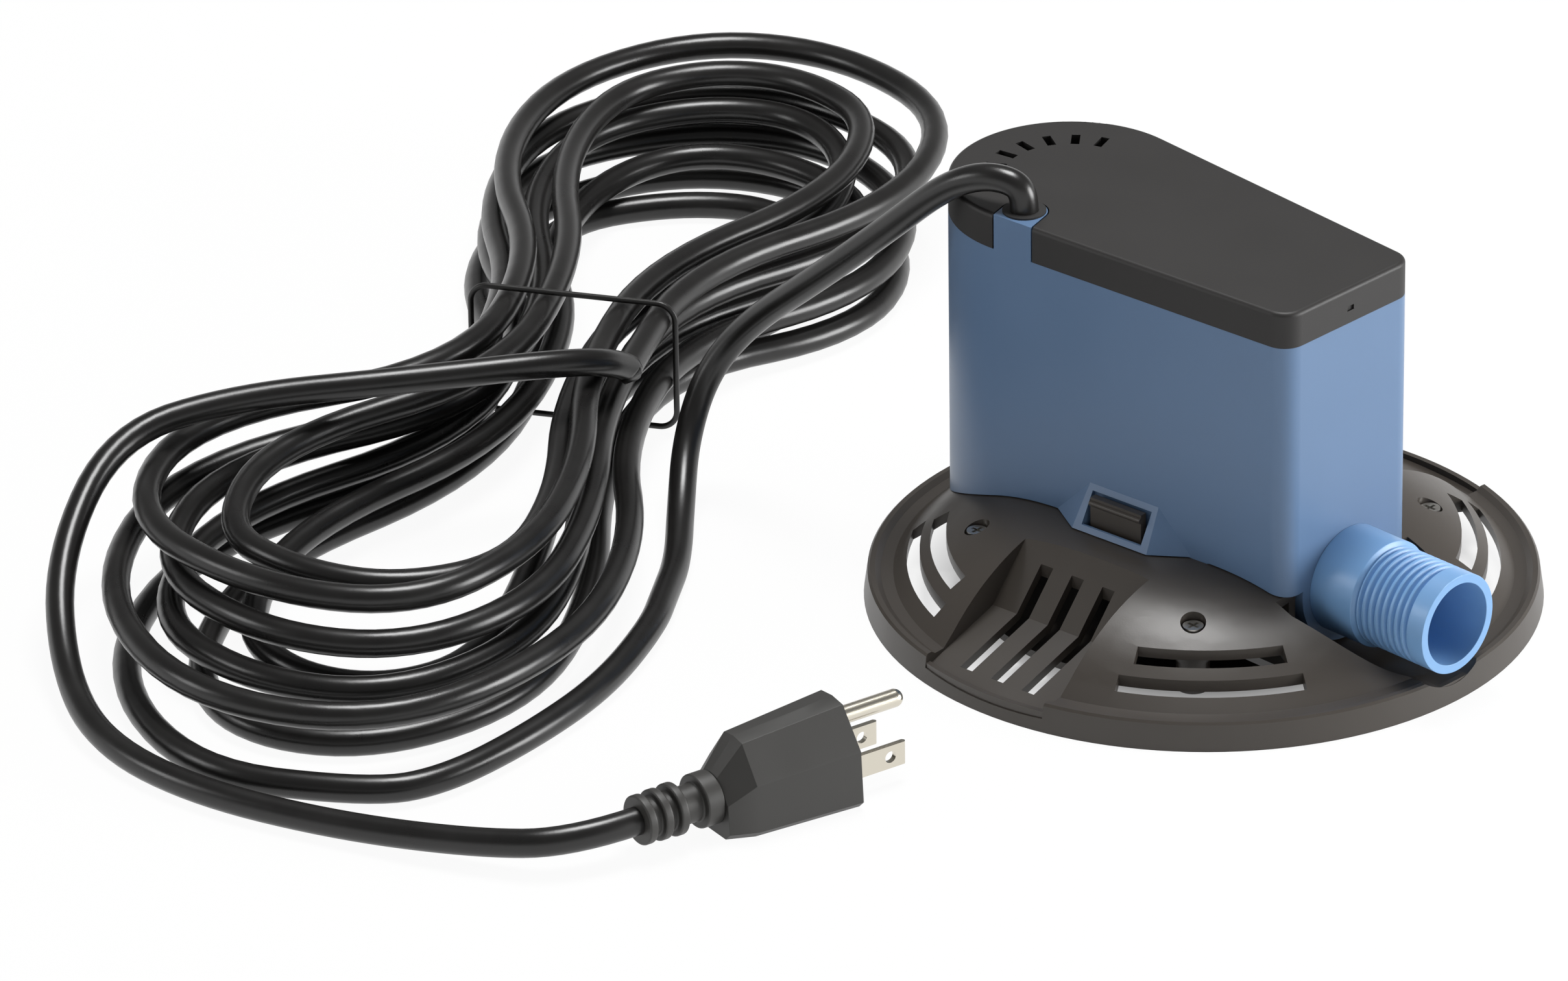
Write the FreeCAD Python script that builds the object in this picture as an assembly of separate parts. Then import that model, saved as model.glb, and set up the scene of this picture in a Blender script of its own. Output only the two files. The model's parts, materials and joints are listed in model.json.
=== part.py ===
import FreeCAD, Part

# Small submersible pump: a tapered motor housing clipped on a domed strainer base, with its cord and plug.
# Lengths are millimetres and +Z is up. The origin is the centre of the base, on the surface it stands on.
# +X points along the housing, from its round end to its square end, and out of the outlet.
import math
import os

from FreeCAD import Placement, Rotation, Vector

# Strainer base; each arc slot is its inner and outer edge, measured in from the rim, and half its angle
BASE_R = 88.2
RIDGE_IN = 1.6
RIDGE_Z = 7.7
SKIRT_Z = 5.4
SKIRT_WALL = 2.4
BASE_WALL = 2.4
CROWN_R = 36.0
CROWN_Z = 26.4
SHOULDER_IN = 11.7
SHOULDER_Z = 10.0
VALLEY_IN = 7.7
VALLEY_WIDTH = 3.2
VALLEY_Z = 6.7
ARC_SLOTS = ((21.5, 17.3, 16.0), (14.6, 11.2, 18.5))
FRONT_SECTOR_ANGLE = 45.5
REAR_SECTOR_ANGLE = 129.5

# Louvred recess on each long side, measured outward from the housing's side wall
SIDE_X = -1.8
PANEL_HALF_WIDTH = 20.0
PANEL_TOP = (14.6, 25.9)
PANEL_BREAK = (29.0, 11.0)
PANEL_FOOT = (52.0, 5.2)
LOUVRE_COUNT = 3
LOUVRE_PITCH = 10.1
LOUVRE_WIDTH = 4.0
LOUVRE_START = 19.0

# Base screws and the suction plate that they hold
BASE_SCREW_X = 38.2
BASE_SCREW_Y = 44.9
BASE_SCREW_R = 1.5
BASE_SCREW_HEAD_R = 2.7
BASE_SCREW_HEAD_H = 2.0
BASE_SCREW_LENGTH = 11.0
SCREW_RECESS_R = 3.3
SCREW_HEAD_Z = 18.8
BASE_BOSS_R = 5.0
BASE_BOSS_Z = 12.0
PLATE_R = 62.0
PLATE_BOTTOM = 3.2
PLATE_THICKNESS = 2.2
PLATE_HOLE_R = 1.7
PLATE_HOLE_RINGS = (5.0, 9.8, 14.2)
FIRST_RING_HOLE_COUNT = 6
PLATE_NOTCH_X = 17.0

# Housing: a round end, a square end and straight sides that taper between them
ROUND_X = -47.4
ROUND_R = 31.7
END_X = 50.4
CORNER_R = 6.0
CORNER_Y = 18.2
SMALLEST_CORNER = 1.0
HOUSING_WALL = 2.5
TOP_WALL = 1.5
HOUSING_TOP = 94.7
FLOOR_THICKNESS = 3.0
FOOT_GAP = 0.3

# Pump chamber below the motor
CHAMBER_R = 21.8
CHAMBER_WALL = 4.7
CHAMBER_BOTTOM = 9.0
CHAMBER_CEILING = 31.4
CEILING_THICKNESS = 3.0
OPENING_GAP = 0.6

# Outlet
OUTLET_Z = 22.0
OUTLET_BORE_R = 11.1
THREAD_R = 13.45
THREAD_DEPTH = 1.15
THREAD_PITCH = 2.21
THREAD_TURNS = 8
THREAD_START = 65.4
OUTLET_END = 88.0
NECK_R = 14.4
SOCKET_R = 13.9
SOCKET_DEPTH = 18.0
SOCKET_WALL = 3.2
PASSAGE_R = 9.6
TROUGH_INNER_R = 25.0
TROUGH_OUTER_R = 17.3
TROUGH_START = 54.0
TROUGH_END = 79.0
TROUGH_FLOOR = 4.2
FIT = 0.05

# Latch bay on each long side, and the base's tongue behind its window
BAY_TOP_HALF = 11.2
BAY_FRONT_HALF = 12.2
BAY_FOOT_HALF = 22.3
BAY_HEIGHT = 11.2
BAY_REACH = 6.3
BAY_WALL = 1.5
BAY_WINDOW_TOP = 9.4
BAY_LIP_HEIGHT = 1.4
TONGUE_HALF = 8.3
TONGUE_OUT = 1.6
TONGUE_THICKNESS = 2.0
TONGUE_HEIGHT = 9.3
TONGUE_BEAD_R = 0.8

# Motor: a shaded-pole motor with its coil at the round end and its rotor over the pump chamber
STACK_BOTTOM = 47.0
STACK_HEIGHT = 28.0
STACK_X0 = -60.0
STACK_X1 = 25.0
STACK_HALF = 23.6
ROTOR_R = 15.0
AIR_GAP = 0.4
COIL_CORE_WIDTH = 14.0
WINDOW_LENGTH = 12.0
LIMB_WIDTH = 7.0
POLE_SLIT = 1.4
BOBBIN_WALL = 1.0
COIL_BUILD = 6.0
END_RING_HEIGHT = 3.4
END_RING_R = 13.6
END_RING_BORE_R = 6.8
SPACER_R = 5.2
SPACER_PLAY = 0.1
HUB_LIP = 0.8
SHAFT_R = 3.0
SHAFT_BOTTOM = 12.4
SHAFT_TOP = 86.4
RUNNING = 0.04
BUSH_R = 6.0
BUSH_HEIGHT = 7.0
LOWER_BUSH_Z = 36.6
SEAL_R = 8.0
SEAL_HEIGHT = 5.0
SHADING_WIRE = 2.0
SHADING_FIT = 0.1
STACK_BOLT_R = 2.0
STACK_BOLT_HEAD_R = 3.6
STACK_BOLT_HEAD_H = 2.6
STACK_BOLT_X = (-29.0, 19.0)
STACK_BOLT_Y = 19.5
POST_R = 4.2
BRACKET_LEG_H = 5.0
BRACKET_THICKNESS = 2.4
BRACKET_HUB_R = 8.5

# Impeller and the chamber's cover
IMPELLER_R = 19.6
IMPELLER_HUB_R = 5.2
IMPELLER_TOP = 28.6
IMPELLER_PLATE = 2.0
VANE_BOTTOM = 16.2
VANE_COUNT = 5
VANE_THICKNESS = 1.8
VANE_SWEEP_R = 15.0
IMPELLER_NUT_AF = 8.0
IMPELLER_NUT_H = 3.2
EYE_R = 9.0
COVER_FLANGE = 3.0
COVER_SPIGOT = 2.5
O_RING_R = 0.85
COVER_SCREW_OUT = 2.3
COVER_SCREW_R = 1.2
COVER_SCREW_HEAD_R = 2.1
COVER_SCREW_HEAD_H = 1.2
COVER_SCREW_LENGTH = 9.0

# Motor cover, its gasket and screws
LEDGE_TOP = 87.7
LEDGE_HEIGHT = 5.0
LEDGE_WIDTH = 5.2
TAB_SHELF = 2.0
MOTOR_ROOM = 0.6
GASKET_THICKNESS = 0.8
MOTOR_COVER_THICKNESS = 2.6
COVER_EDGE_GAP = 0.15
MOTOR_SCREW_R = 1.3
MOTOR_SCREW_HEAD_R = 2.3
MOTOR_SCREW_HEAD_H = 1.6
MOTOR_SCREW_LENGTH = 7.6
MOTOR_SCREW_INSET = 5.3
MOTOR_SCREW_X = 30.0
MOTOR_SCREW_ANGLE = 128.0

# Lid
LID_HEIGHT = 9.8
LID_WALL = 2.2
LID_TOP = 2.4
LID_EDGE_R = 1.3
LID_TONGUE = 1.8
LID_TONGUE_WALL = 1.8
LID_SLOT_COUNT = 8
LID_SLOT_STEP = 20.0
LID_SLOT_R = 19.9
LID_SLOT_LENGTH = 5.6
LID_SLOT_WIDTH = 2.3
PRY_WIDTH = 2.4
PRY_HEIGHT = 1.4
PRY_DEPTH = 0.6

# Cord, where it enters the housing, and the plug
CORD_D = 7.4
CORD_ANGLE = -74.0
CORD_INSET = 6.1
CORD_BOSS_R = 6.0
CORD_BOSS_FOOT = 84.0
BUSHING_R = 4.5
BUSHING_LENGTH = 19.0
BUSHING_STAND = 0.5
BUSHING_FLANGE_R = 5.7
CORD_INNER_END = 80.0
FREE_ROUTE = (
    (-43.4, -25.8, 112.5), (-51.8, -28.9, 112.4), (-62.8, -31.6, 106.2), (-80.0, -35.0, 89.5),
    (-100.0, -39.0, 71.0), (-126.0, -40.0, 49.0), (-135.0, -47.0, 33.7), (-133.0, -57.0, 18.5),
    (-121.0, -71.0, 8.0), (-105.0, -88.0, 4.0),
)
FREE_FIRST_RUN = 4.2
CORD_REST = (-94.5, -103.0, 4.0)
FLOOR_ROUTE = (
    (-84.0, -118.0, 4.0), (-70.0, -149.0, 4.0), (-64.0, -181.0, 4.0), (-63.0, -211.5, 4.0), (-71.3, -229.3, 4.0),
)

# Cord hank: flat-sided loops pinched at a tie, wound in layers, with eight stations to a turn
HANK_X = -181.0
HANK_Y = -56.0
HANK_ANGLE = 120.0
CORD_FLOOR = 4.0
HANK_LAYER = 8.9
HANK_LEAN = 10.0
HANK_BULGE = 6.0
HANK_TURNS_PER_LAYER = 2
HANK_STEP_COUNT = 62
TIE_LIFT = 2.8
TIE_R = 0.8
TIE_ALONG = 12.0
TIE_GAP = 0.4
TAIL_ROUTE = (
    (-16.0, 24.4, 33.5), (-36.0, 17.0, 44.4), (-60.0, -26.0, 44.9), (-76.0, -66.0, 43.4), (-97.0, -93.0, 39.4),
    (-134.0, -97.0, 22.0), (-166.0, -85.5, 7.0), (-195.0, -66.5, 4.0), (-214.0, -36.0, 4.0), (-223.0, 4.0, 4.0),
    (-228.0, 42.0, 6.5),
)

# Plug: moulded body with two flat blades and a round ground pin
PLUG_X = -1.5
PLUG_Y = -178.7
PLUG_ANGLE = 79.0
PLUG_LENGTH = 37.0
PLUG_CORD_Z = 9.5
PLUG_REAR = (8.5, 16.5)
PLUG_SHOULDER = (11.5, 24.5)
PLUG_FRONT = (13.7, 26.6)
PLUG_SHOULDER_X = 7.0
BLADE_SPACING = 12.7
BLADE_WIDTH = 6.35
BLADE_THICKNESS = 1.5
BLADE_LENGTH = 17.5
BLADE_ROOT = 8.0
BLADE_Z = 8.0
GROUND_OFFSET = 11.9
GROUND_R = 2.38
GROUND_LENGTH = 21.0
RELIEF_LENGTH = 22.0
RELIEF_CORE_R = 5.0
RELIEF_RINGS = 4
RELIEF_RING_R = (6.5, 7.1)
RELIEF_PITCH = 4.6
RELIEF_RING_W = 2.4
PLUG_LAST_RUN = 20.0


def cylinder(radius, z0, z1, x=0.0, y=0.0):
    return Part.makeCylinder(radius, z1 - z0, Vector(x, y, z0))


def tube(outer, inner, z0, z1, x=0.0, y=0.0):
    return cylinder(outer, z0, z1, x, y).cut(cylinder(inner, z0, z1, x, y))


def box(x0, x1, y0, y1, z0, z1):
    return Part.makeBox(x1 - x0, y1 - y0, z1 - z0, Vector(x0, y0, z0))


def x_cylinder(radius, x0, x1, y, z):
    return Part.makeCylinder(radius, x1 - x0, Vector(x0, y, z), Vector(1, 0, 0))


def joined(shapes):
    whole = shapes[0]
    if len(shapes) > 1:
        whole = whole.multiFuse(shapes[1:])
    return whole.removeSplitter()


def mirrored(shape):
    """The same piece on the other long side, mirrored across the XZ plane."""
    return shape.mirror(Vector(0, 0, 0), Vector(0, 1, 0))


def both_sides(shape):
    return [shape, mirrored(shape)]


def polygon_face(points):
    return Part.Face(Part.makePolygon([Vector(*p) for p in points] + [Vector(*points[0])]))


def line(a, b):
    return Part.LineSegment(Vector(*a), Vector(*b)).toShape()


def arc(a, b, c):
    return Part.Arc(Vector(*a), Vector(*b), Vector(*c)).toShape()


def side_angle():
    """Half the angle between the housing's tapering sides, in radians."""
    run = END_X - CORNER_R - ROUND_X
    reach = math.hypot(run, CORNER_Y)
    return math.pi / 2 - math.atan2(CORNER_Y, run) - math.acos((ROUND_R - CORNER_R) / reach)


def side_reach(x):
    """How far the housing's side wall stands from the XZ plane at x."""
    angle = side_angle()
    return (ROUND_R + (ROUND_X - x) * math.sin(angle)) / math.cos(angle)


def housing_outline(offset, z):
    """The housing's plan as a face at height z, grown outward by offset."""
    angle = side_angle()
    big = ROUND_R + offset
    small = max(CORNER_R + offset, SMALLEST_CORNER)
    cx = END_X + offset - small
    cy = (big - small - (cx - ROUND_X) * math.sin(angle)) / math.cos(angle)
    up = Vector(math.sin(angle), math.cos(angle), 0)
    down = Vector(up.x, -up.y, 0)
    corner_mid = Vector(math.cos(math.pi / 4), math.sin(math.pi / 4), 0)
    centre = Vector(ROUND_X, 0, z)
    top_corner = Vector(cx, cy, z)
    low_corner = Vector(cx, -cy, z)
    p1 = centre + up * big
    p2 = top_corner + up * small
    p3 = top_corner + Vector(small, 0, 0)
    p4 = low_corner + Vector(small, 0, 0)
    p5 = low_corner + down * small
    p6 = centre + down * big
    edges = [
        Part.LineSegment(p1, p2).toShape(),
        Part.Arc(p2, top_corner + corner_mid * small, p3).toShape(),
        Part.LineSegment(p3, p4).toShape(),
        Part.Arc(p4, low_corner + Vector(corner_mid.x, -corner_mid.y, 0) * small, p5).toShape(),
        Part.LineSegment(p5, p6).toShape(),
        Part.Arc(p6, centre - Vector(big, 0, 0), p1).toShape(),
    ]
    return Part.Face(Part.Wire(edges))


def housing_prism(offset, z0, z1):
    return housing_outline(offset, z0).extrude(Vector(0, 0, z1 - z0))


def side_frame():
    """Placement of the long side at -Y: local X runs along the wall and local -Y points out of it."""
    place = Vector(SIDE_X, -side_reach(SIDE_X), 0)
    return Placement(place, Rotation(Vector(0, 0, 1), math.degrees(side_angle())))


def on_side(shape):
    placed = shape.copy()
    placed.transformShape(side_frame().toMatrix())
    return placed


def dome_arc_radius():
    run = BASE_R - SHOULDER_IN - CROWN_R
    drop = CROWN_Z - SHOULDER_Z
    return (run ** 2 + drop ** 2) / (2 * drop)


def dome_profile(depth):
    """Edges of the dome's half section, from the axis outward, sunk into the wall by depth."""
    radius = dome_arc_radius()
    centre_z = CROWN_Z - radius
    end_angle = math.atan2(SHOULDER_Z - centre_z, BASE_R - SHOULDER_IN - CROWN_R)
    mid_angle = (math.pi / 2 + end_angle) / 2

    def on_arc(angle):
        reach = radius - depth
        return (CROWN_R + reach * math.cos(angle), 0, centre_z + reach * math.sin(angle))

    top = CROWN_Z - depth
    edges = [line((0, 0, top), (CROWN_R, 0, top)), arc((CROWN_R, 0, top), on_arc(mid_angle), on_arc(end_angle))]
    return edges, on_arc(end_angle)


def dome_outside():
    edges, shoulder = dome_profile(0.0)
    ridge_r = BASE_R - RIDGE_IN
    valley = (BASE_R - VALLEY_IN, 0, VALLEY_Z)
    ridge_foot = (BASE_R - VALLEY_IN + VALLEY_WIDTH, 0, VALLEY_Z)
    ridge_in = (ridge_r - 1.4, 0, RIDGE_Z)
    ridge_out = (ridge_r, 0, RIDGE_Z)
    skirt_top = (ridge_r + 0.6, 0, RIDGE_Z - 0.6)
    edges += [
        line(shoulder, valley),
        line(valley, ridge_foot),
        line(ridge_foot, ridge_in),
        line(ridge_in, ridge_out),
        line(ridge_out, skirt_top),
        line(skirt_top, (BASE_R, 0, 0)),
        line((BASE_R, 0, 0), (0, 0, 0)),
        line((0, 0, 0), (0, 0, CROWN_Z)),
    ]
    return Part.Face(Part.Wire(edges)).revolve(Vector(0, 0, 0), Vector(0, 0, 1), 360)


def dome_inside():
    edges, shoulder = dome_profile(BASE_WALL)
    inner_r = BASE_R - SKIRT_WALL
    valley_z = VALLEY_Z - BASE_WALL
    edges += [
        line(shoulder, (BASE_R - VALLEY_IN, 0, valley_z)),
        line((BASE_R - VALLEY_IN, 0, valley_z), (inner_r, 0, valley_z)),
        line((inner_r, 0, valley_z), (inner_r, 0, -1)),
        line((inner_r, 0, -1), (0, 0, -1)),
        line((0, 0, -1), (0, 0, CROWN_Z - BASE_WALL)),
    ]
    return Part.Face(Part.Wire(edges)).revolve(Vector(0, 0, 0), Vector(0, 0, 1), 360)


def dome_envelope(gap):
    """All that lies below the dome's surface raised by gap, for pieces that stand on it."""
    raised = dome_outside()
    raised.translate(Vector(0, 0, gap))
    return raised.fuse(cylinder(BASE_R + 1, -20, gap + 1))


def crossing(a, b, c, d):
    """Where the line through a and b meets the line through c and d, in two coordinates."""
    ax, ay = b[0] - a[0], b[1] - a[1]
    cx, cy = d[0] - c[0], d[1] - c[1]
    share = ((c[0] - a[0]) * cy - (c[1] - a[1]) * cx) / (ax * cy - ay * cx)
    return (a[0] + ax * share, a[1] + ay * share)


def sunk(a, b, depth):
    """The line from a to b moved by depth below itself, as two points of (outward, height)."""
    length = math.hypot(b[0] - a[0], b[1] - a[1])
    nx, nz = (b[1] - a[1]) / length, -(b[0] - a[0]) / length
    return (a[0] + nx * depth, a[1] + nz * depth), (b[0] + nx * depth, b[1] + nz * depth)


def panel_recess(depth):
    """The space above the louvred recess, grown into the wall by depth."""
    steep = sunk(PANEL_TOP, PANEL_BREAK, depth)
    gentle = sunk(PANEL_BREAK, PANEL_FOOT, depth)
    sky = 60.0
    far = 80.0
    corner = crossing(*steep, *gentle)
    start = crossing(*steep, (0, sky), (1, sky))
    end = crossing(*gentle, (far, 0), (far, 1))
    outline = [start, corner, end, (far, sky)]
    half = PANEL_HALF_WIDTH + depth
    face = polygon_face([(-half, -out, z) for out, z in outline])
    return on_side(face.extrude(Vector(2 * half, 0, 0)))


def trough(depth):
    """The channel round the outlet, grown into the wall by depth."""
    boss_half = SOCKET_R + SOCKET_WALL + OPENING_GAP + depth
    far = 100.0
    sky = 60.0
    cone = Part.makeCone(
        TROUGH_INNER_R + depth, TROUGH_OUTER_R + depth, TROUGH_END - TROUGH_START,
        Vector(TROUGH_START, 0, OUTLET_Z), Vector(1, 0, 0),
    )
    mouth = x_cylinder(TROUGH_OUTER_R + depth, TROUGH_END, far, 0, OUTLET_Z)
    inner = x_cylinder(TROUGH_INNER_R + depth, END_X - 2.0, TROUGH_START, 0, OUTLET_Z)
    slot = box(0, END_X, -boss_half, boss_half, -20, sky)
    above = box(TROUGH_START, far, -TROUGH_OUTER_R - depth, TROUGH_OUTER_R + depth, OUTLET_Z, sky)
    keep = box(-10, far, -60, 60, TROUGH_FLOOR - depth, sky)
    return joined([cone, mouth, inner, slot, above]).common(keep)


def sector_angles():
    return [FRONT_SECTOR_ANGLE, -FRONT_SECTOR_ANGLE, REAR_SECTOR_ANGLE, -REAR_SECTOR_ANGLE]


def arc_slot(inner, outer, half_angle, angle):
    """An arc-shaped slot right through the dome."""
    wedge = Part.makeCylinder(outer, 40, Vector(0, 0, -5), Vector(0, 0, 1), 2 * half_angle)
    wedge = wedge.cut(cylinder(inner, -5, 35))
    wedge.rotate(Vector(0, 0, 0), Vector(0, 0, 1), angle - half_angle)
    return wedge


def base_screw_places():
    return [(x, y) for x in (-BASE_SCREW_X, BASE_SCREW_X) for y in (-BASE_SCREW_Y, BASE_SCREW_Y)]


def latch_tongue():
    """One of the base's springy tongues, in the long side's own frame."""
    foot = CROWN_Z - BASE_WALL / 2
    top = CROWN_Z + TONGUE_HEIGHT
    near = -TONGUE_OUT
    far = -TONGUE_OUT - TONGUE_THICKNESS
    blade = box(-TONGUE_HALF, TONGUE_HALF, far, near, foot, top)
    bead = x_cylinder(TONGUE_BEAD_R, -TONGUE_HALF, TONGUE_HALF, far, top - 2 * TONGUE_BEAD_R)
    return on_side(joined([blade, bead]))


def strainer_base():
    outside = dome_outside().cut(trough(0.0))
    inside = dome_inside().cut(trough(BASE_WALL))
    for side in both_sides(panel_recess(0.0)):
        outside = outside.cut(side)
    for side in both_sides(panel_recess(BASE_WALL)):
        inside = inside.cut(side)
    shell = outside.cut(inside)
    bosses = [cylinder(BASE_BOSS_R, BASE_BOSS_Z, CROWN_Z, x, y) for x, y in base_screw_places()]
    bosses = [boss.common(dome_outside()) for boss in bosses]
    skirt = tube(BASE_R - 0.9, BASE_R - SKIRT_WALL, 0, SKIRT_Z)
    whole = joined([shell, skirt] + bosses + both_sides(latch_tongue()))
    cuts = [cylinder(CHAMBER_R + CHAMBER_WALL + OPENING_GAP, -5, 60)]
    for inner, outer, half in ARC_SLOTS:
        cuts += [arc_slot(BASE_R - inner, BASE_R - outer, half, angle) for angle in sector_angles()]
    for x, y in base_screw_places():
        cuts.append(cylinder(SCREW_RECESS_R, SCREW_HEAD_Z, 40, x, y))
        cuts.append(cylinder(BASE_SCREW_R + FIT, 0, 40, x, y))
    middle = (LOUVRE_COUNT - 1) / 2
    for index in range(LOUVRE_COUNT):
        x = (index - middle) * LOUVRE_PITCH
        louvre = box(x - LOUVRE_WIDTH / 2, x + LOUVRE_WIDTH / 2, -PANEL_FOOT[0], -LOUVRE_START, -5, 60)
        cuts += both_sides(on_side(louvre))
    for cut in cuts:
        whole = whole.cut(cut)
    return whole


def suction_plate():
    """The perforated plate under the dome, with a pillar for each base screw."""
    top = PLATE_BOTTOM + PLATE_THICKNESS
    plate = cylinder(PLATE_R, PLATE_BOTTOM, top)
    pillars = [cylinder(BASE_BOSS_R - 0.6, PLATE_BOTTOM, BASE_BOSS_Z, x, y) for x, y in base_screw_places()]
    whole = joined([plate] + pillars)
    notch = TROUGH_INNER_R + BASE_WALL + 0.6
    cuts = [box(PLATE_NOTCH_X, PLATE_R + 1, -notch, notch, -5, 40)]
    for x, y in base_screw_places():
        cuts.append(cylinder(BASE_SCREW_R + FIT, SCREW_HEAD_Z - BASE_SCREW_LENGTH - 1, 40, x, y))
    cuts.append(cylinder(PLATE_HOLE_R, 0, 10))
    for ring, radius in enumerate(PLATE_HOLE_RINGS):
        count = FIRST_RING_HOLE_COUNT * (ring + 1)
        for index in range(count):
            angle = 2 * math.pi * index / count
            cuts.append(cylinder(PLATE_HOLE_R, 0, 10, radius * math.cos(angle), radius * math.sin(angle)))
    for cut in cuts:
        whole = whole.cut(cut)
    return whole


def cross_head_screw(x, y, seat, head_r, head_h, shank_r, length, up=1):
    """A pan-head screw standing on seat, with a crossed slot in its head."""
    head = Part.makeCylinder(head_r, head_h, Vector(0, 0, 0))
    shank = Part.makeCylinder(shank_r, length, Vector(0, 0, -length))
    slot_l = 1.3 * head_r
    slot_w = 0.3 * head_r
    depth = 0.6 * head_h
    screw = head.fuse(shank).removeSplitter()
    screw = screw.cut(box(-slot_l / 2, slot_l / 2, -slot_w / 2, slot_w / 2, head_h - depth, head_h + 1))
    screw = screw.cut(box(-slot_w / 2, slot_w / 2, -slot_l / 2, slot_l / 2, head_h - depth, head_h + 1))
    if up < 0:
        screw.rotate(Vector(0, 0, 0), Vector(1, 0, 0), 180)
    screw.translate(Vector(x, y, seat))
    return screw


def base_screws():
    return Part.makeCompound([
        cross_head_screw(x, y, SCREW_HEAD_Z, BASE_SCREW_HEAD_R, BASE_SCREW_HEAD_H, BASE_SCREW_R, BASE_SCREW_LENGTH)
        for x, y in base_screw_places()
    ])


def latch_bay():
    """The wedge-shaped bay over the tongue, in the long side's own frame: its solid and what is cut from it."""
    foot = CROWN_Z + FOOT_GAP
    top = foot + BAY_HEIGHT
    back = HOUSING_WALL + 1.0
    skin = 0.2
    bottom = [
        (-BAY_FOOT_HALF, skin), (-BAY_FRONT_HALF, -BAY_REACH), (BAY_FRONT_HALF, -BAY_REACH),
        (BAY_FOOT_HALF, skin), (BAY_FOOT_HALF, back), (-BAY_FOOT_HALF, back),
    ]
    crown = [(-BAY_TOP_HALF, skin), (BAY_TOP_HALF, skin), (BAY_TOP_HALF, back), (-BAY_TOP_HALF, back)]
    low = [Vector(x, y, foot) for x, y in bottom]
    high = [Vector(x, y, top) for x, y in crown]
    faces = [
        polygon_face(low), polygon_face(high),
        polygon_face([low[1], low[2], high[1], high[0]]),
        polygon_face([low[0], low[1], high[0]]),
        polygon_face([low[2], low[3], high[1]]),
        polygon_face([low[3], low[4], high[2], high[1]]),
        polygon_face([low[4], low[5], high[3], high[2]]),
        polygon_face([low[5], low[0], high[0], high[3]]),
    ]
    solid = Part.Solid(Part.Shell(faces))
    if solid.Volume < 0:
        solid.reverse()
    half = BAY_TOP_HALF - BAY_WALL
    hollow = box(-half, half, -BAY_REACH + BAY_WALL, 0, foot - 5, foot + BAY_WINDOW_TOP)
    window = box(-half, half, -20, 0, foot + BAY_LIP_HEIGHT, foot + BAY_WINDOW_TOP)
    return on_side(solid), on_side(hollow.fuse(window))


def cord_place():
    """Where the cord goes down into the housing, beside the round end's wall."""
    reach = ROUND_R - CORD_INSET
    angle = math.radians(CORD_ANGLE)
    return ROUND_X + reach * math.cos(angle), reach * math.sin(angle)


def cord_boss(grow, z0, z1):
    """The upright tab that the cord goes down into, flush with the housing's side."""
    x, y = cord_place()
    post = cylinder(CORD_BOSS_R + grow, z0, z1, x, y)
    web = box(0, CORD_INSET + 5, -CORD_BOSS_R - grow, CORD_BOSS_R + grow, z0, z1)
    web.rotate(Vector(0, 0, 0), Vector(0, 0, 1), CORD_ANGLE)
    web.translate(Vector(x, y, 0))
    return post.fuse(web).removeSplitter()


def chamber_body():
    """The round pump chamber and the outlet's socket, solid."""
    outer = CHAMBER_R + CHAMBER_WALL
    round_part = cylinder(outer, CHAMBER_BOTTOM, CHAMBER_CEILING + CEILING_THICKNESS)
    socket = x_cylinder(SOCKET_R + SOCKET_WALL, 0, END_X + 5, 0, OUTLET_Z)
    bush_boss = cylinder(BUSH_R + 3.0, CHAMBER_CEILING, LOWER_BUSH_Z + BUSH_HEIGHT)
    seal_boss = cylinder(SEAL_R + 3.0, CHAMBER_CEILING, CHAMBER_CEILING + SEAL_HEIGHT + 1.2)
    return [round_part, socket, bush_boss, seal_boss]


def chamber_space():
    """The water space: chamber, passage and outlet socket, with the seats for the seal and the lower bush."""
    start = END_X - SOCKET_DEPTH
    floor = CHAMBER_BOTTOM + COVER_FLANGE
    return [
        cylinder(CHAMBER_R, floor, CHAMBER_CEILING),
        cylinder(CHAMBER_R + CHAMBER_WALL + 1, 0, floor).cut(
            x_cylinder(SOCKET_R + SOCKET_WALL, CHAMBER_R + CHAMBER_WALL - 1, END_X, 0, OUTLET_Z)),
        x_cylinder(PASSAGE_R, 0, start + 1, 0, OUTLET_Z),
        x_cylinder(SOCKET_R, start, END_X + 1, 0, OUTLET_Z),
        cylinder(SEAL_R, CHAMBER_CEILING - 1, CHAMBER_CEILING + SEAL_HEIGHT),
        cylinder(SHAFT_R + 0.6, CHAMBER_CEILING, LOWER_BUSH_Z + 1),
        cylinder(BUSH_R, LOWER_BUSH_Z, LOWER_BUSH_Z + BUSH_HEIGHT + 1),
    ]


def stack_bolt_places():
    return [(x, y) for x in STACK_BOLT_X for y in (-STACK_BOLT_Y, STACK_BOLT_Y)]


def motor_screw_places():
    """Screws round the motor cover, set in from the housing's outline."""
    inset = ROUND_R - MOTOR_SCREW_INSET
    places = [(ROUND_X - inset, 0)]
    for degrees in (MOTOR_SCREW_ANGLE, -MOTOR_SCREW_ANGLE):
        angle = math.radians(degrees)
        places.append((ROUND_X + inset * math.cos(angle), inset * math.sin(angle)))
    reach = side_reach(MOTOR_SCREW_X) - MOTOR_SCREW_INSET / math.cos(side_angle())
    places += [(MOTOR_SCREW_X, reach), (MOTOR_SCREW_X, -reach)]
    corner = CORNER_Y + CORNER_R - MOTOR_SCREW_INSET
    return places + [(END_X - MOTOR_SCREW_INSET, corner - 1), (END_X - MOTOR_SCREW_INSET, 1 - corner)]


def cover_screw_places():
    reach = CHAMBER_R + COVER_SCREW_OUT
    angles = [math.radians(a) for a in (75, 135, 225, 285)]
    return [(reach * math.cos(a), reach * math.sin(a)) for a in angles]


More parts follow.
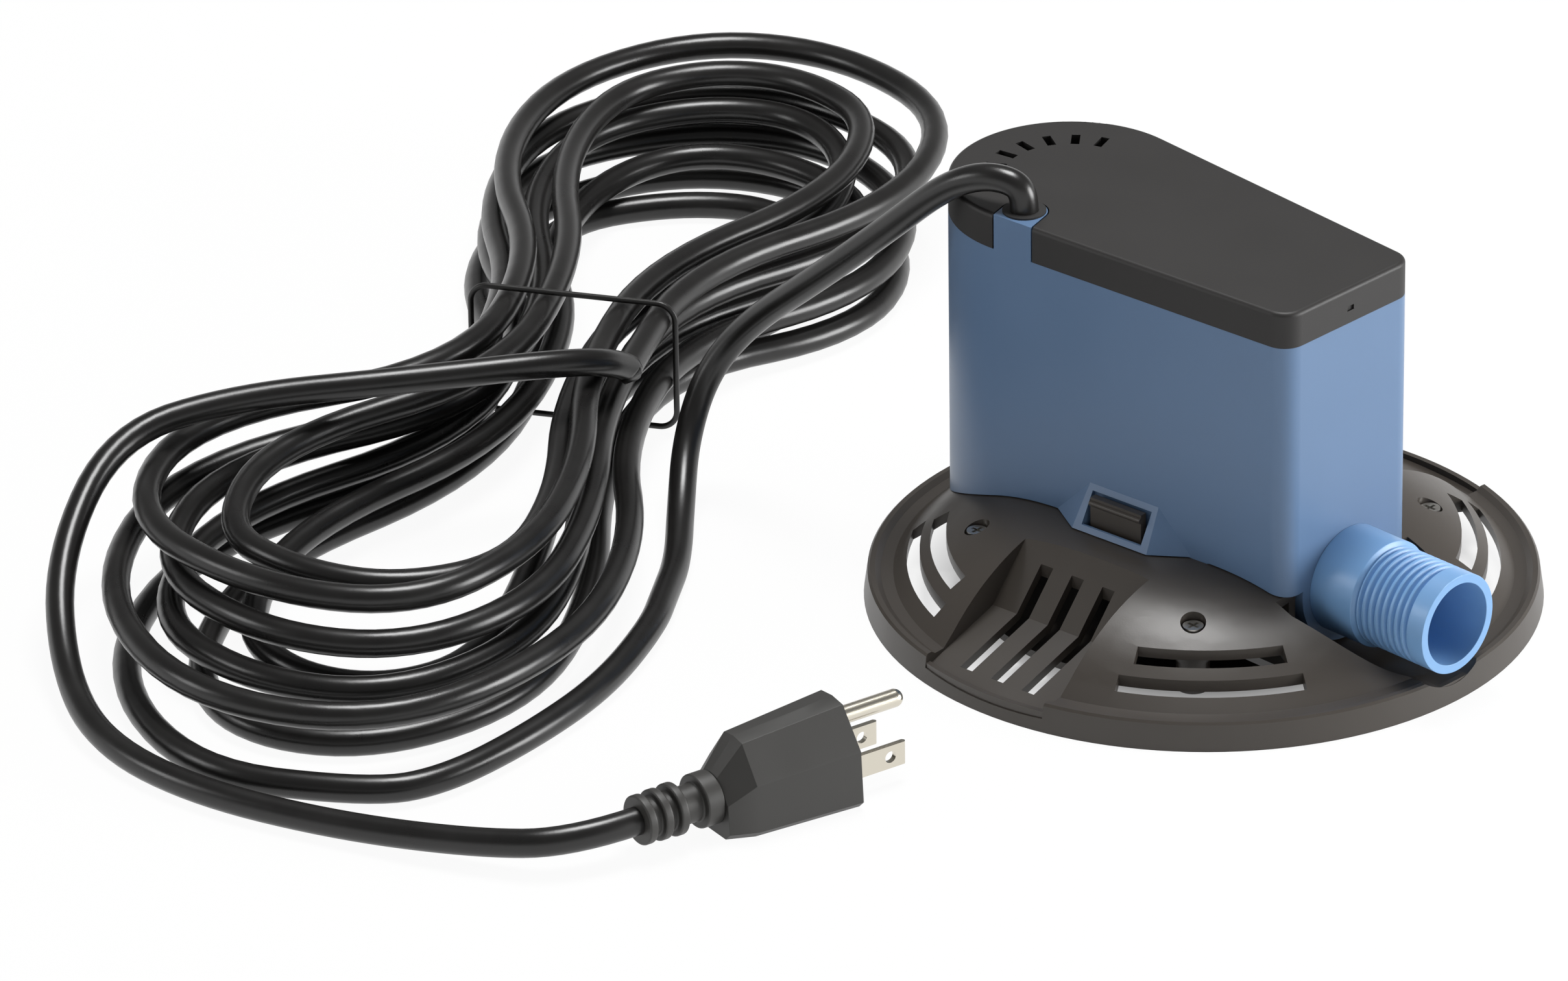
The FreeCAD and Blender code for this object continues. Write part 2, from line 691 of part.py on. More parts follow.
def housing_outer():
    """The housing's outside: its walls down to the base, the latch bays and the cord's tab."""
    top = HOUSING_TOP + LID_HEIGHT
    solid = latch_bay()[0]
    block = joined([housing_prism(0, 2.0, top)] + both_sides(solid))
    above = box(-BASE_R, BASE_R, -BASE_R, BASE_R, HOUSING_TOP, top + 1).cut(cord_boss(0, HOUSING_TOP - 1, top + 2))
    below = dome_envelope(FOOT_GAP).cut(cylinder(CROWN_R, -30, CROWN_Z + 10))
    below = below.fuse(cylinder(CROWN_R + 0.1, -30, CROWN_Z))
    return block.cut(above).cut(below.cut(joined(chamber_body())))


def motor_opening(z0, z1):
    """The motor's way in through the ledge: the full width at its stack, narrower at both ends."""
    x, z = coil_middle()
    coil_x = x - COIL_CORE_WIDTH / 2 - BOBBIN_WALL - COIL_BUILD - MOTOR_ROOM
    coil_y = coil_half_length() + MOTOR_ROOM
    inside = housing_prism(-HOUSING_WALL, z0, z1)
    at_stack = box(STACK_X0 - MOTOR_ROOM, STACK_X1 + MOTOR_ROOM, -50, 50, z0, z1).common(inside)
    at_coil = box(coil_x, 0, -coil_y, coil_y, z0, z1).common(inside)
    ends = housing_prism(-HOUSING_WALL - LEDGE_WIDTH, z0, z1)
    return joined([at_stack, at_coil, ends]).cut(cord_boss(TAB_SHELF, z0 - 1, z1 + 1))


def housing_inner():
    """The housing's dry space, less the ledge, the cord's tab, the posts and the bosses that stand in it."""
    floor_top = CROWN_Z + FLOOR_THICKNESS
    ledge_foot = LEDGE_TOP - LEDGE_HEIGHT
    space = joined([
        housing_prism(-HOUSING_WALL, floor_top, ledge_foot),
        motor_opening(ledge_foot - 1, LEDGE_TOP + 1),
        housing_prism(-TOP_WALL, LEDGE_TOP, HOUSING_TOP + LID_HEIGHT + 5),
    ])
    solids = [cylinder(POST_R, 0, STACK_BOTTOM, x, y) for x, y in stack_bolt_places()]
    solids += [cord_boss(0, CORD_BOSS_FOOT, HOUSING_TOP + LID_HEIGHT + 10)]
    for solid in solids + chamber_body():
        space = space.cut(solid)
    return space


def volute_block():
    """The pump chamber's body without its hollows, as far as the housing's walls."""
    return joined(chamber_body()).common(housing_prism(-HOUSING_WALL, 0, LOWER_BUSH_Z + BUSH_HEIGHT + 1))


def volute_body():
    """The pump chamber: it hangs through the housing's floor and carries the seal and the lower bush."""
    body = volute_block()
    for cut in chamber_space():
        body = body.cut(cut)
    for x, y in cover_screw_places():
        start = CHAMBER_BOTTOM + COVER_FLANGE
        body = body.cut(cylinder(COVER_SCREW_R + FIT, start - 1, start + COVER_SCREW_LENGTH - 2, x, y))
    return body


def motor_housing():
    shell = housing_outer().cut(housing_inner())
    shell = shell.cut(housing_prism(-HOUSING_WALL, -5, CROWN_Z)).cut(volute_block())
    for cut in chamber_space() + both_sides(latch_bay()[1]):
        shell = shell.cut(cut)
    x, y = cord_place()
    shell = shell.cut(cylinder(BUSHING_R, LEDGE_TOP - LEDGE_HEIGHT - 1, HOUSING_TOP + LID_HEIGHT + 1, x, y))
    for x, y in stack_bolt_places():
        shell = shell.cut(cylinder(STACK_BOLT_R + FIT, STACK_BOTTOM - 12, STACK_BOTTOM + 1, x, y))
    for x, y in motor_screw_places():
        shell = shell.cut(cylinder(MOTOR_SCREW_R + FIT, LEDGE_TOP - LEDGE_HEIGHT + 0.5, LEDGE_TOP + 1, x, y))
    return shell


def discharge_spigot():
    """The outlet: a sleeve in the chamber's socket, a neck, a male thread and a plain nose."""
    start = END_X - SOCKET_DEPTH
    sleeve = x_cylinder(SOCKET_R - FIT, start, END_X, 0, OUTLET_Z)
    neck = x_cylinder(NECK_R, END_X, THREAD_START - 1.2, 0, OUTLET_Z)
    fillet = Part.makeCone(NECK_R, THREAD_R - THREAD_DEPTH, 1.2, Vector(THREAD_START - 1.2, 0, OUTLET_Z), Vector(1, 0, 0))
    barrel = x_cylinder(THREAD_R, THREAD_START, OUTLET_END, 0, OUTLET_Z)
    whole = joined([sleeve, neck, fillet, barrel])
    for index in range(THREAD_TURNS):
        x = THREAD_START + (index + 0.5) * THREAD_PITCH
        half = THREAD_PITCH * 0.32
        groove = polygon_face([
            (x - half, 0, THREAD_R + 0.5), (x - half, 0, THREAD_R), (x - 0.15, 0, THREAD_R - THREAD_DEPTH),
            (x + 0.15, 0, THREAD_R - THREAD_DEPTH), (x + half, 0, THREAD_R), (x + half, 0, THREAD_R + 0.5),
        ]).revolve(Vector(0, 0, 0), Vector(1, 0, 0), 360)
        groove.translate(Vector(0, 0, OUTLET_Z))
        whole = whole.cut(groove)
    return whole.cut(x_cylinder(OUTLET_BORE_R, start - 1, OUTLET_END + 1, 0, OUTLET_Z))


def volute_cover():
    """The chamber's bottom: a flange, a spigot that holds the sealing ring, and the suction eye."""
    top = CHAMBER_BOTTOM + COVER_FLANGE
    flange = cylinder(CHAMBER_R + CHAMBER_WALL - 0.2, CHAMBER_BOTTOM, top)
    flange = flange.cut(x_cylinder(SOCKET_R + SOCKET_WALL + FIT, 0, END_X, 0, OUTLET_Z).cut(
        cylinder(CHAMBER_R + CHAMBER_WALL - 1, 0, 60)))
    spigot = cylinder(CHAMBER_R - FIT, top, top + COVER_SPIGOT)
    groove = tube(CHAMBER_R + 1, CHAMBER_R - 2 * O_RING_R, top + 0.3, top + 0.5 + 2 * O_RING_R)
    whole = flange.fuse(spigot).removeSplitter().cut(groove)
    whole = whole.cut(cylinder(EYE_R, 0, 60))
    for x, y in cover_screw_places():
        whole = whole.cut(cylinder(COVER_SCREW_R + FIT, 0, 60, x, y))
    return whole


def volute_o_ring():
    z = CHAMBER_BOTTOM + COVER_FLANGE + 0.4 + O_RING_R
    return Part.makeTorus(CHAMBER_R - O_RING_R, O_RING_R - 0.02, Vector(0, 0, z))


def volute_screws():
    return Part.makeCompound([
        cross_head_screw(
            x, y, CHAMBER_BOTTOM, COVER_SCREW_HEAD_R, COVER_SCREW_HEAD_H, COVER_SCREW_R, COVER_SCREW_LENGTH, -1)
        for x, y in cover_screw_places()
    ])


def curved_vane():
    """One backward-curved vane as a ring sector between the hub and the rim."""
    z1 = IMPELLER_TOP - IMPELLER_PLATE + 0.2
    band = tube(VANE_SWEEP_R, VANE_SWEEP_R - VANE_THICKNESS, VANE_BOTTOM, z1)
    band.translate(Vector(IMPELLER_R / 2, -VANE_SWEEP_R * 0.72, 0))
    zone = tube(IMPELLER_R, EYE_R - 1.5, VANE_BOTTOM, z1)
    quarter = box(0, IMPELLER_R, 0, IMPELLER_R, VANE_BOTTOM, z1)
    return band.common(zone).common(quarter)


def impeller():
    plate = cylinder(IMPELLER_R, IMPELLER_TOP - IMPELLER_PLATE, IMPELLER_TOP)
    hub = cylinder(IMPELLER_HUB_R, VANE_BOTTOM, IMPELLER_TOP)
    parts = [plate, hub]
    vane = curved_vane()
    for index in range(VANE_COUNT):
        turned = vane.copy()
        turned.rotate(Vector(0, 0, 0), Vector(0, 0, 1), 360 / VANE_COUNT * index)
        parts.append(turned)
    return joined(parts).cut(cylinder(SHAFT_R + FIT, 0, 60))


def impeller_nut():
    z0 = VANE_BOTTOM - IMPELLER_NUT_H
    radius = IMPELLER_NUT_AF / math.sqrt(3)
    corners = [(radius * math.cos(a), radius * math.sin(a), z0) for a in (math.radians(60 * i) for i in range(6))]
    nut = polygon_face(corners).extrude(Vector(0, 0, IMPELLER_NUT_H))
    return nut.cut(cylinder(SHAFT_R + FIT, 0, 60))


def motor_shaft():
    shaft = cylinder(SHAFT_R, SHAFT_BOTTOM, SHAFT_TOP)
    return shaft.makeChamfer(0.4, [e for e in shaft.Edges if e.BoundBox.ZLength < 0.01])


def rotor_core():
    core = cylinder(ROTOR_R - AIR_GAP, STACK_BOTTOM, STACK_BOTTOM + STACK_HEIGHT)
    return core.cut(cylinder(SHAFT_R + FIT, 0, 100))


def rotor_end_rings():
    top = STACK_BOTTOM + STACK_HEIGHT
    low = tube(END_RING_R, END_RING_BORE_R, STACK_BOTTOM - END_RING_HEIGHT, STACK_BOTTOM)
    high = tube(END_RING_R, END_RING_BORE_R, top, top + END_RING_HEIGHT)
    return Part.makeCompound([low, high])


def rotor_spacers():
    """Sleeves on the shaft that hold the rotor between its two bushes."""
    top = STACK_BOTTOM + STACK_HEIGHT
    low = tube(SPACER_R, SHAFT_R + FIT, LOWER_BUSH_Z + BUSH_HEIGHT + SPACER_PLAY, STACK_BOTTOM)
    high = tube(SPACER_R, SHAFT_R + FIT, top, upper_bush_z() - HUB_LIP - SPACER_PLAY)
    return Part.makeCompound([low, high])


def coil_window():
    """The window between the coil's limb and the poles, as its two x values."""
    start = STACK_X0 + COIL_CORE_WIDTH
    return start, start + WINDOW_LENGTH


def shading_holes():
    """Centres of the two holes that each shading ring passes through, at +Y."""
    return (9.0, 17.4), (19.6, 12.5)


def stator_core():
    top = STACK_BOTTOM + STACK_HEIGHT
    w0, w1 = coil_window()
    inner = STACK_HALF - LIMB_WIDTH
    stack = box(STACK_X0, STACK_X1, -STACK_HALF, STACK_HALF, STACK_BOTTOM, top)
    outline = housing_prism(-HOUSING_WALL - 0.6, STACK_BOTTOM, top)
    cuts = [
        cylinder(ROTOR_R, 0, 100),
        box(w0, w1, -inner, inner, 0, 100),
        box(w1 - 1, 0, -POLE_SLIT / 2, POLE_SLIT / 2, 0, 100),
        box(0, STACK_X1 - 3.0, -POLE_SLIT / 2, POLE_SLIT / 2, 0, 100),
    ]
    for x, y in stack_bolt_places():
        cuts.append(cylinder(STACK_BOLT_R + 0.1, 0, 100, x, y))
    hole = SHADING_WIRE / 2 + SHADING_FIT
    for x, y in shading_holes():
        for side in (1, -1):
            cuts.append(box(x - hole, x + hole, side * y - hole, side * y + hole, 0, 100))
    stack = stack.common(outline)
    for cut in cuts:
        stack = stack.cut(cut)
    return stack


def shading_rings():
    """Two closed copper loops, one through each pole."""
    (xa, ya), (xb, yb) = shading_holes()
    half = SHADING_WIRE / 2
    low = STACK_BOTTOM - SHADING_WIRE
    top = STACK_BOTTOM + STACK_HEIGHT
    legs = [box(x - half, x + half, y - half, y + half, low, top + SHADING_WIRE) for x, y in ((xa, ya), (xb, yb))]
    length = math.hypot(xb - xa, yb - ya)
    bar = box(0, length, -half, half, 0, SHADING_WIRE)
    bar.rotate(Vector(0, 0, 0), Vector(0, 0, 1), math.degrees(math.atan2(yb - ya, xb - xa)))
    bars = []
    for z in (low, top):
        placed = bar.copy()
        placed.translate(Vector(xa, ya, z))
        bars.append(placed)
    loop = joined(legs + bars)
    return Part.makeCompound(both_sides(loop))


def coil_middle():
    return STACK_X0 + COIL_CORE_WIDTH / 2, STACK_BOTTOM + STACK_HEIGHT / 2


def coil_half_length():
    return STACK_HALF - LIMB_WIDTH - 0.6


def coil_bobbin():
    """A flanged sleeve on the coil's limb, its axis along Y."""
    x, z = coil_middle()
    half_y = coil_half_length()
    core_x = COIL_CORE_WIDTH / 2 + 0.2
    core_z = STACK_HEIGHT / 2 + 0.2
    wall = BOBBIN_WALL
    sleeve = box(x - core_x - wall, x + core_x + wall, -half_y, half_y, z - core_z - wall, z + core_z + wall)
    reach = wall + COIL_BUILD
    flange = box(x - core_x - reach, x + core_x + reach, -half_y, -half_y + 1.2, z - core_z - reach, z + core_z + reach)
    whole = joined([sleeve] + both_sides(flange))
    whole = whole.cut(box(x - core_x, x + core_x, -50, 50, z - core_z, z + core_z))
    return whole.common(housing_prism(-HOUSING_WALL - 0.5, 0, 100))


def stator_coil():
    x, z = coil_middle()
    half_y = coil_half_length() - 1.3
    core_x = COIL_CORE_WIDTH / 2 + 0.3 + BOBBIN_WALL
    core_z = STACK_HEIGHT / 2 + 0.3 + BOBBIN_WALL
    build = COIL_BUILD - 1.0
    outer = box(x - core_x - build, x + core_x + build, -half_y, half_y, z - core_z - build, z + core_z + build)
    along = [e for e in outer.Edges if e.BoundBox.YLength > half_y]
    outer = outer.makeFillet(build * 0.6, along)
    coil = outer.cut(box(x - core_x, x + core_x, -50, 50, z - core_z, z + core_z))
    return coil.common(housing_prism(-HOUSING_WALL - 0.5, 0, 100))


def shaft_seal():
    top = CHAMBER_CEILING + SEAL_HEIGHT
    body = tube(SEAL_R - FIT, SHAFT_R + 2.2, CHAMBER_CEILING, top)
    lip = tube(SHAFT_R + 2.4, SHAFT_R + RUNNING, CHAMBER_CEILING + 1.0, CHAMBER_CEILING + 2.2)
    return joined([body, lip])


def bush(z0):
    return tube(BUSH_R - 0.02, SHAFT_R + RUNNING, z0, z0 + BUSH_HEIGHT)


def bracket_plate_z():
    return STACK_BOTTOM + STACK_HEIGHT + BRACKET_LEG_H


def upper_bush_z():
    return SHAFT_TOP - BUSH_HEIGHT + 0.2


def bearing_bracket():
    """The bridge over the rotor: four legs on the stack, a plate and the upper bush's hub."""
    z = bracket_plate_z()
    top = z + BRACKET_THICKNESS
    x0, x1 = STACK_BOLT_X
    rim = POST_R
    plate = box(x0 - rim, x1 + rim, -STACK_BOLT_Y - rim, STACK_BOLT_Y + rim, z, top)
    upright = [e for e in plate.Edges if e.BoundBox.ZLength > BRACKET_THICKNESS - 0.01]
    plate = plate.makeFillet(rim - 0.1, upright)
    plate = plate.common(housing_prism(-HOUSING_WALL - 0.4, 0, 100))
    legs = [cylinder(rim, STACK_BOTTOM + STACK_HEIGHT, z + 0.1, x, y) for x, y in stack_bolt_places()]
    legs = [leg.common(housing_prism(-HOUSING_WALL - 0.4, 0, 100)) for leg in legs]
    hub = cylinder(BRACKET_HUB_R, upper_bush_z() - HUB_LIP, upper_bush_z() + BUSH_HEIGHT)
    whole = joined([plate, hub] + legs)
    cuts = [
        cylinder(BUSH_R, upper_bush_z(), 200),
        cylinder(SHAFT_R + 0.6, 0, 200),
        box(x0 + 5, -BRACKET_HUB_R - 3, -STACK_BOLT_Y + 5, STACK_BOLT_Y - 5, z - 1, top + 1),
    ]
    for x, y in stack_bolt_places():
        cuts.append(cylinder(STACK_BOLT_R + 0.1, 0, 200, x, y))
    for cut in cuts:
        whole = whole.cut(cut)
    return whole


def stack_bolts():
    seat = bracket_plate_z() + BRACKET_THICKNESS
    length = seat - STACK_BOTTOM + 10
    return Part.makeCompound([
        cross_head_screw(x, y, seat, STACK_BOLT_HEAD_R, STACK_BOLT_HEAD_H, STACK_BOLT_R, length)
        for x, y in stack_bolt_places()
    ])


def thermal_cut_out():
    """A flat thermal switch in the motor chamber, between the stack and the square end."""
    body = box(STACK_X1 + 2.0, STACK_X1 + 7.0, -7.5, 7.5, STACK_BOTTOM + 3, STACK_BOTTOM + 24)
    return body.makeFillet(1.2, body.Edges)


def wire_splices():
    """Three closed-end crimp splices standing in the square end of the motor chamber."""
    splices = []
    for index in range(3):
        y = (index - 1) * 11.0
        x = END_X - HOUSING_WALL - 8.5
        skirt = cylinder(3.6, STACK_BOTTOM + 4, STACK_BOTTOM + 14, x, y)
        cap = cylinder(2.9, STACK_BOTTOM + 14, STACK_BOTTOM + 22, x, y)
        splices.append(skirt.fuse(cap).removeSplitter())
    return Part.makeCompound(splices)


def cover_plan(inset, z0, z1):
    """A plate inside the housing's walls, clear of the cord's tab."""
    plate = housing_prism(-TOP_WALL - inset, z0, z1)
    return plate.cut(cord_boss(0.3, z0 - 1, z1 + 1))


def motor_cover_gasket():
    z1 = LEDGE_TOP + GASKET_THICKNESS
    ring = cover_plan(COVER_EDGE_GAP, LEDGE_TOP, z1)
    ring = ring.cut(motor_opening(LEDGE_TOP - 1, z1 + 1))
    for x, y in motor_screw_places():
        ring = ring.cut(cylinder(MOTOR_SCREW_R + FIT, 0, 200, x, y))
    return ring


def motor_cover_z():
    return LEDGE_TOP + GASKET_THICKNESS


def motor_cover():
    z0 = motor_cover_z()
    z1 = z0 + MOTOR_COVER_THICKNESS
    plate = cover_plan(COVER_EDGE_GAP, z0, z1)
    x0, x1 = coil_window()[1] + 4, END_X - 14
    for index in range(3):
        y = (index - 1) * 10.0
        plate = plate.fuse(box(x0, x1, y - 0.8, y + 0.8, z1 - 0.2, z1 + 1.2))
    plate = plate.removeSplitter()
    for x, y in motor_screw_places():
        plate = plate.cut(cylinder(MOTOR_SCREW_R + FIT, 0, 200, x, y))
    return plate


def motor_cover_screws():
    seat = motor_cover_z() + MOTOR_COVER_THICKNESS
    return Part.makeCompound([
        cross_head_screw(x, y, seat, MOTOR_SCREW_HEAD_R, MOTOR_SCREW_HEAD_H, MOTOR_SCREW_R, MOTOR_SCREW_LENGTH)
        for x, y in motor_screw_places()
    ])


def lid():
    z0 = HOUSING_TOP
    z1 = HOUSING_TOP + LID_HEIGHT
    block = housing_prism(0, z0, z1)
    rim = [e for e in block.Edges if e.BoundBox.ZMin > z1 - 0.01]
    block = block.makeFillet(LID_EDGE_R, rim)
    block = block.cut(housing_prism(-LID_WALL, z0 - 1, z1 - LID_TOP))
    inner = housing_prism(-TOP_WALL - LID_TONGUE_WALL, 0, 200)
    tongue = housing_prism(-TOP_WALL - COVER_EDGE_GAP, z0 - LID_TONGUE, z0 + 1).cut(inner)
    rib = housing_prism(-LID_WALL / 2, z0, z0 + 2.0).cut(inner)
    block = joined([block, tongue, rib])
    block = block.cut(cord_boss(0.4, 0, 200))
    middle = (LID_SLOT_COUNT - 1) / 2
    for index in range(LID_SLOT_COUNT):
        angle = 180 + (index - middle) * LID_SLOT_STEP
        half_l = LID_SLOT_LENGTH / 2
        half_w = LID_SLOT_WIDTH / 2
        slot = box(LID_SLOT_R - half_l, LID_SLOT_R + half_l, -half_w, half_w, z1 - 5, z1 + 1)
        slot.rotate(Vector(0, 0, 0), Vector(0, 0, 1), angle)
        slot.translate(Vector(ROUND_X, 0, 0))
        block = block.cut(slot)
    pry_z = z0 + 3.4
    return block.cut(box(END_X - PRY_DEPTH, END_X + 1, -PRY_WIDTH / 2, PRY_WIDTH / 2, pry_z, pry_z + PRY_HEIGHT))


def cord_bushing():
    x, y = cord_place()
    seat = HOUSING_TOP + LID_HEIGHT
    top = seat + BUSHING_STAND
    sleeve = tube(BUSHING_R - FIT, CORD_D / 2 + FIT, top - BUSHING_LENGTH, top, x, y)
    flange = tube(BUSHING_FLANGE_R, CORD_D / 2 + FIT, seat, top, x, y)
    return joined([sleeve, flange])


def cord_inner_end():
    x, y = cord_place()
    top = HOUSING_TOP + LID_HEIGHT + BUSHING_STAND
    return cylinder(CORD_D / 2, CORD_INNER_END, top, x, y)


def corner_arcs(points):
    """A path of straight runs joined by tangent arcs, and the radius at each of its turns."""
    route = [Vector(*p) for p in points]
    edges = []
    radii = []
    here = route[0]
    for before, corner, after in zip(route, route[1:], route[2:]):
        into = (corner - before).normalize()
        out = (after - corner).normalize()
        reach = 0.45 * min((corner - before).Length, (after - corner).Length)
        start = corner - into * reach
        end = corner + out * reach
        middle = (start + end) * 0.5
        weight = (end - start).Length / 2 / reach
        edges.append(Part.LineSegment(here, start).toShape())
        edges.append(Part.Arc(start, (middle + corner * weight) * (1 / (1 + weight)), end).toShape())
        radii.append(round(reach / math.tan(into.getAngle(out) / 2), 1))
        here = end
    edges.append(Part.LineSegment(here, route[-1]).toShape())
    return edges, radii


def biarc(p0, t0, p1, t1):
    """Two arcs, tangent to each other, from p0 leaving along t0 to p1 arriving along t1."""
    span = p1 - p0
    both = t0 + t1
    turn = 2 * (1 - t0.dot(t1))
    if turn < 1e-9:
        reach = span.dot(span) / (4 * span.dot(t0))
    else:
        reach = (math.sqrt(span.dot(both) ** 2 + turn * span.dot(span)) - span.dot(both)) / turn
    joint = (p0 + t0 * reach + p1 - t1 * reach) * 0.5
    edges = []
    for start, corner, end in ((p0, p0 + t0 * reach, joint), (joint, p1 - t1 * reach, p1)):
        middle = (start + end) * 0.5
        weight = (end - start).Length / 2 / reach
        if weight > 1 - 1e-9:
            edges.append(Part.LineSegment(start, end).toShape())
        else:
            edges.append(Part.Arc(start, (middle + corner * weight) * (1 / (1 + weight)), end).toShape())
    return edges


def pipe(edges, radius):
    """A round tube along joined edges."""
    path = Part.Wire(edges)
    first = edges[0]
    start = first.valueAt(first.FirstParameter)
    along = first.tangentAt(first.FirstParameter)
    ring = Part.Wire(Part.makeCircle(radius, start, along))
    return path.makePipeShell([ring], True, False)


def report_tube(name, tube_solid, edges, radius):
    length = sum(edge.Length for edge in edges)
    expected = math.pi * radius ** 2 * length
    print(name, "length", round(length, 1), "volume over section x length", round(tube_solid.Volume / expected, 4))


def least_gap(edges, radius, apart):
    """Least distance between the tube's surfaces at places more than apart along it, on points."""
    points = []
    for edge in edges:
        count = max(2, int(edge.Length / 2.0) + 1)
        points += edge.discretize(count)[:-1]
    travelled = [0.0]
    for a, b in zip(points, points[1:]):
        travelled.append(travelled[-1] + (b - a).Length)
    cell = 4 * radius
    grid = {}
    for index, p in enumerate(points):
        key = (int(p.x // cell), int(p.y // cell), int(p.z // cell))
        grid.setdefault(key, []).append(index)
    least = 1e9
    around = [(i, j, k) for i in (-1, 0, 1) for j in (-1, 0, 1) for k in (-1, 0, 1)]
    for (i, j, k), members in grid.items():
        near = []
        for di, dj, dk in around:
            near += grid.get((i + di, j + dj, k + dk), [])
        for a in members:
            for b in near:
                if travelled[b] - travelled[a] > apart:
                    least = min(least, (points[a] - points[b]).Length)
    return least - 2 * radius


def hank_place(along, across, z):
    """A point of the hank's own plan, along its length and across it, in the part's frame."""
    angle = math.radians(HANK_ANGLE)
    x = HANK_X + along * math.cos(angle) + across * math.sin(angle)
    y = HANK_Y + along * math.sin(angle) - across * math.cos(angle)
    return Vector(x, y, z)


def hank_direction(along, across, up):
    return (hank_place(along, across, up) - hank_place(0, 0, 0)).normalize()


def hank_stations():
    """Eight places round the outer loop: along, across, travel, inward way, inward step and lift."""
    return (
        (-205.0, -16.0, (0, -1), (1, 0), 22.0, 0.0),
        (-132.0, -78.0, (1, 0), (0, 1), 18.5, 0.0),
        (5.0, -26.0, (1, 0), (0, 1), 10.5, TIE_LIFT),
        (105.0, -56.0, (1, 0), (0, 1), 16.0, 0.0),
        (165.0, 8.0, (0, 1), (-1, 0), 14.0, 0.0),
        (105.0, 72.0, (-1, 0), (0, -1), 17.0, 0.0),
        (5.0, 26.0, (-1, 0), (0, -1), 10.5, TIE_LIFT),
        (-125.0, 44.0, (-1, 0), (0, -1), 14.0, 0.0),
    )


def hank_inset(index):
    """Turns inward at a station: the spiral runs in for one layer and out for the next one."""
    turns = (index / 8) % (2 * HANK_TURNS_PER_LAYER)
    return min(turns, 2 * HANK_TURNS_PER_LAYER - turns)


def hank_height(index):
    """Layers climbed at a station: each climb takes the half turn round a reversal of the spiral."""
    per_layer = 8 * HANK_TURNS_PER_LAYER
    layer = int((index + 2) // per_layer)
    if layer == 0:
        return 0.0
    past = (index + 2) - layer * per_layer
    return layer - 1 + min(past / 4, 1.0)


def hank_station(index):
    along, across, _, inward, step, lift = hank_stations()[index % 8]
    inset = hank_inset(index) * step
    lean = 0.0 if lift > 0 else HANK_LEAN * hank_height(index)
    bulge = HANK_BULGE * hank_height(index) if index % 8 == 1 else 0.0
    z = CORD_FLOOR + HANK_LAYER * hank_height(index) + lift
    return along + lean + inward[0] * inset, across - bulge + inward[1] * inset, z


def hank_travel(index):
    """Unit travel at a station, leaned by the spiral's drift and by the climb."""
    _, _, way, inward, step, _ = hank_stations()[index % 8]
    ahead = hank_station(index + 1)
    behind = hank_station(index - 1) if index > 0 else hank_station(index)
    stride = math.hypot(ahead[0] - behind[0], ahead[1] - behind[1]) / 2
    drift = (hank_inset(index + 1) - hank_inset(index - 1)) / 2 * step if index > 0 else 0.0
    climb = HANK_LAYER * (hank_height(index + 1) - hank_height(index - 1)) / 2 if index > 0 else 0.0
    if index == HANK_STEP_COUNT:
        drift = climb = 0.0
    along = way[0] * stride + inward[0] * drift
    across = way[1] * stride + inward[1] * drift
    return hank_direction(along, across, climb)


def hank_path():
    places = [hank_place(*hank_station(index)) for index in range(HANK_STEP_COUNT + 1)]
    ways = [hank_travel(index) for index in range(HANK_STEP_COUNT + 1)]
    edges = [Part.LineSegment(places[0] - ways[0] * CORD_D, places[0]).toShape()]
    for index in range(HANK_STEP_COUNT):
        edges += biarc(places[index], ways[index], places[index + 1], ways[index + 1])
    edges.append(Part.LineSegment(places[-1], places[-1] + ways[-1] * CORD_D).toShape())
    return edges


def cord_hank():
    edges = hank_path()
    solid = pipe(edges, CORD_D / 2)
    report_tube("cord_hank", solid, edges, CORD_D / 2)
    tightest = min(edge.Curve.Radius for edge in edges if hasattr(edge.Curve, "Radius"))
    print("cord_hank tightest radius", round(tightest, 1))
    print("cord_hank least gap", round(least_gap(edges, CORD_D / 2, 4 * CORD_D), 2))
    return solid


def free_cord(name, route):
    """A stretch of free cord along a route of points."""
    edges, radii = corner_arcs(route)
    solid = pipe(edges, CORD_D / 2)
    report_tube(name, solid, edges, CORD_D / 2)
    print(name, "radii", radii)
    return solid


def power_cord():
    """The cord from the bushing over the lid's edge and down to the floor."""
    x, y = cord_place()
    top = HOUSING_TOP + LID_HEIGHT + BUSHING_STAND
    return free_cord("power_cord", [(x, y, top), (x, y, top + FREE_FIRST_RUN)] + list(FREE_ROUTE) + [CORD_REST])


def floor_cord():
    """The cord's stretch on the floor, round the hank's end to where the hank begins."""
    end = hank_place(*hank_station(0)) - hank_travel(0) * CORD_D
    return free_cord("floor_cord", [CORD_REST] + list(FLOOR_ROUTE) + [tuple(end)])


def plug_frame():
    return Placement(Vector(PLUG_X, PLUG_Y, 0), Rotation(Vector(0, 0, 1), PLUG_ANGLE))


def on_plug(shape):
    placed = shape.copy()
    placed.transformShape(plug_frame().toMatrix())
    return placed


def plug_tail():
    """The tail, from the hank's end over its waist, down its side and round to the plug."""
    last = HANK_STEP_COUNT
    start = hank_place(*hank_station(last)) + hank_travel(last) * CORD_D
    end = plug_frame().multVec(Vector(-RELIEF_LENGTH, 0, PLUG_CORD_Z))
    before = plug_frame().multVec(Vector(-RELIEF_LENGTH - PLUG_LAST_RUN, 0, PLUG_CORD_Z))
    middle = [tuple(hank_place(*p)) for p in TAIL_ROUTE]
    return free_cord("plug_tail", [tuple(start)] + middle + [tuple(before), tuple(end)])


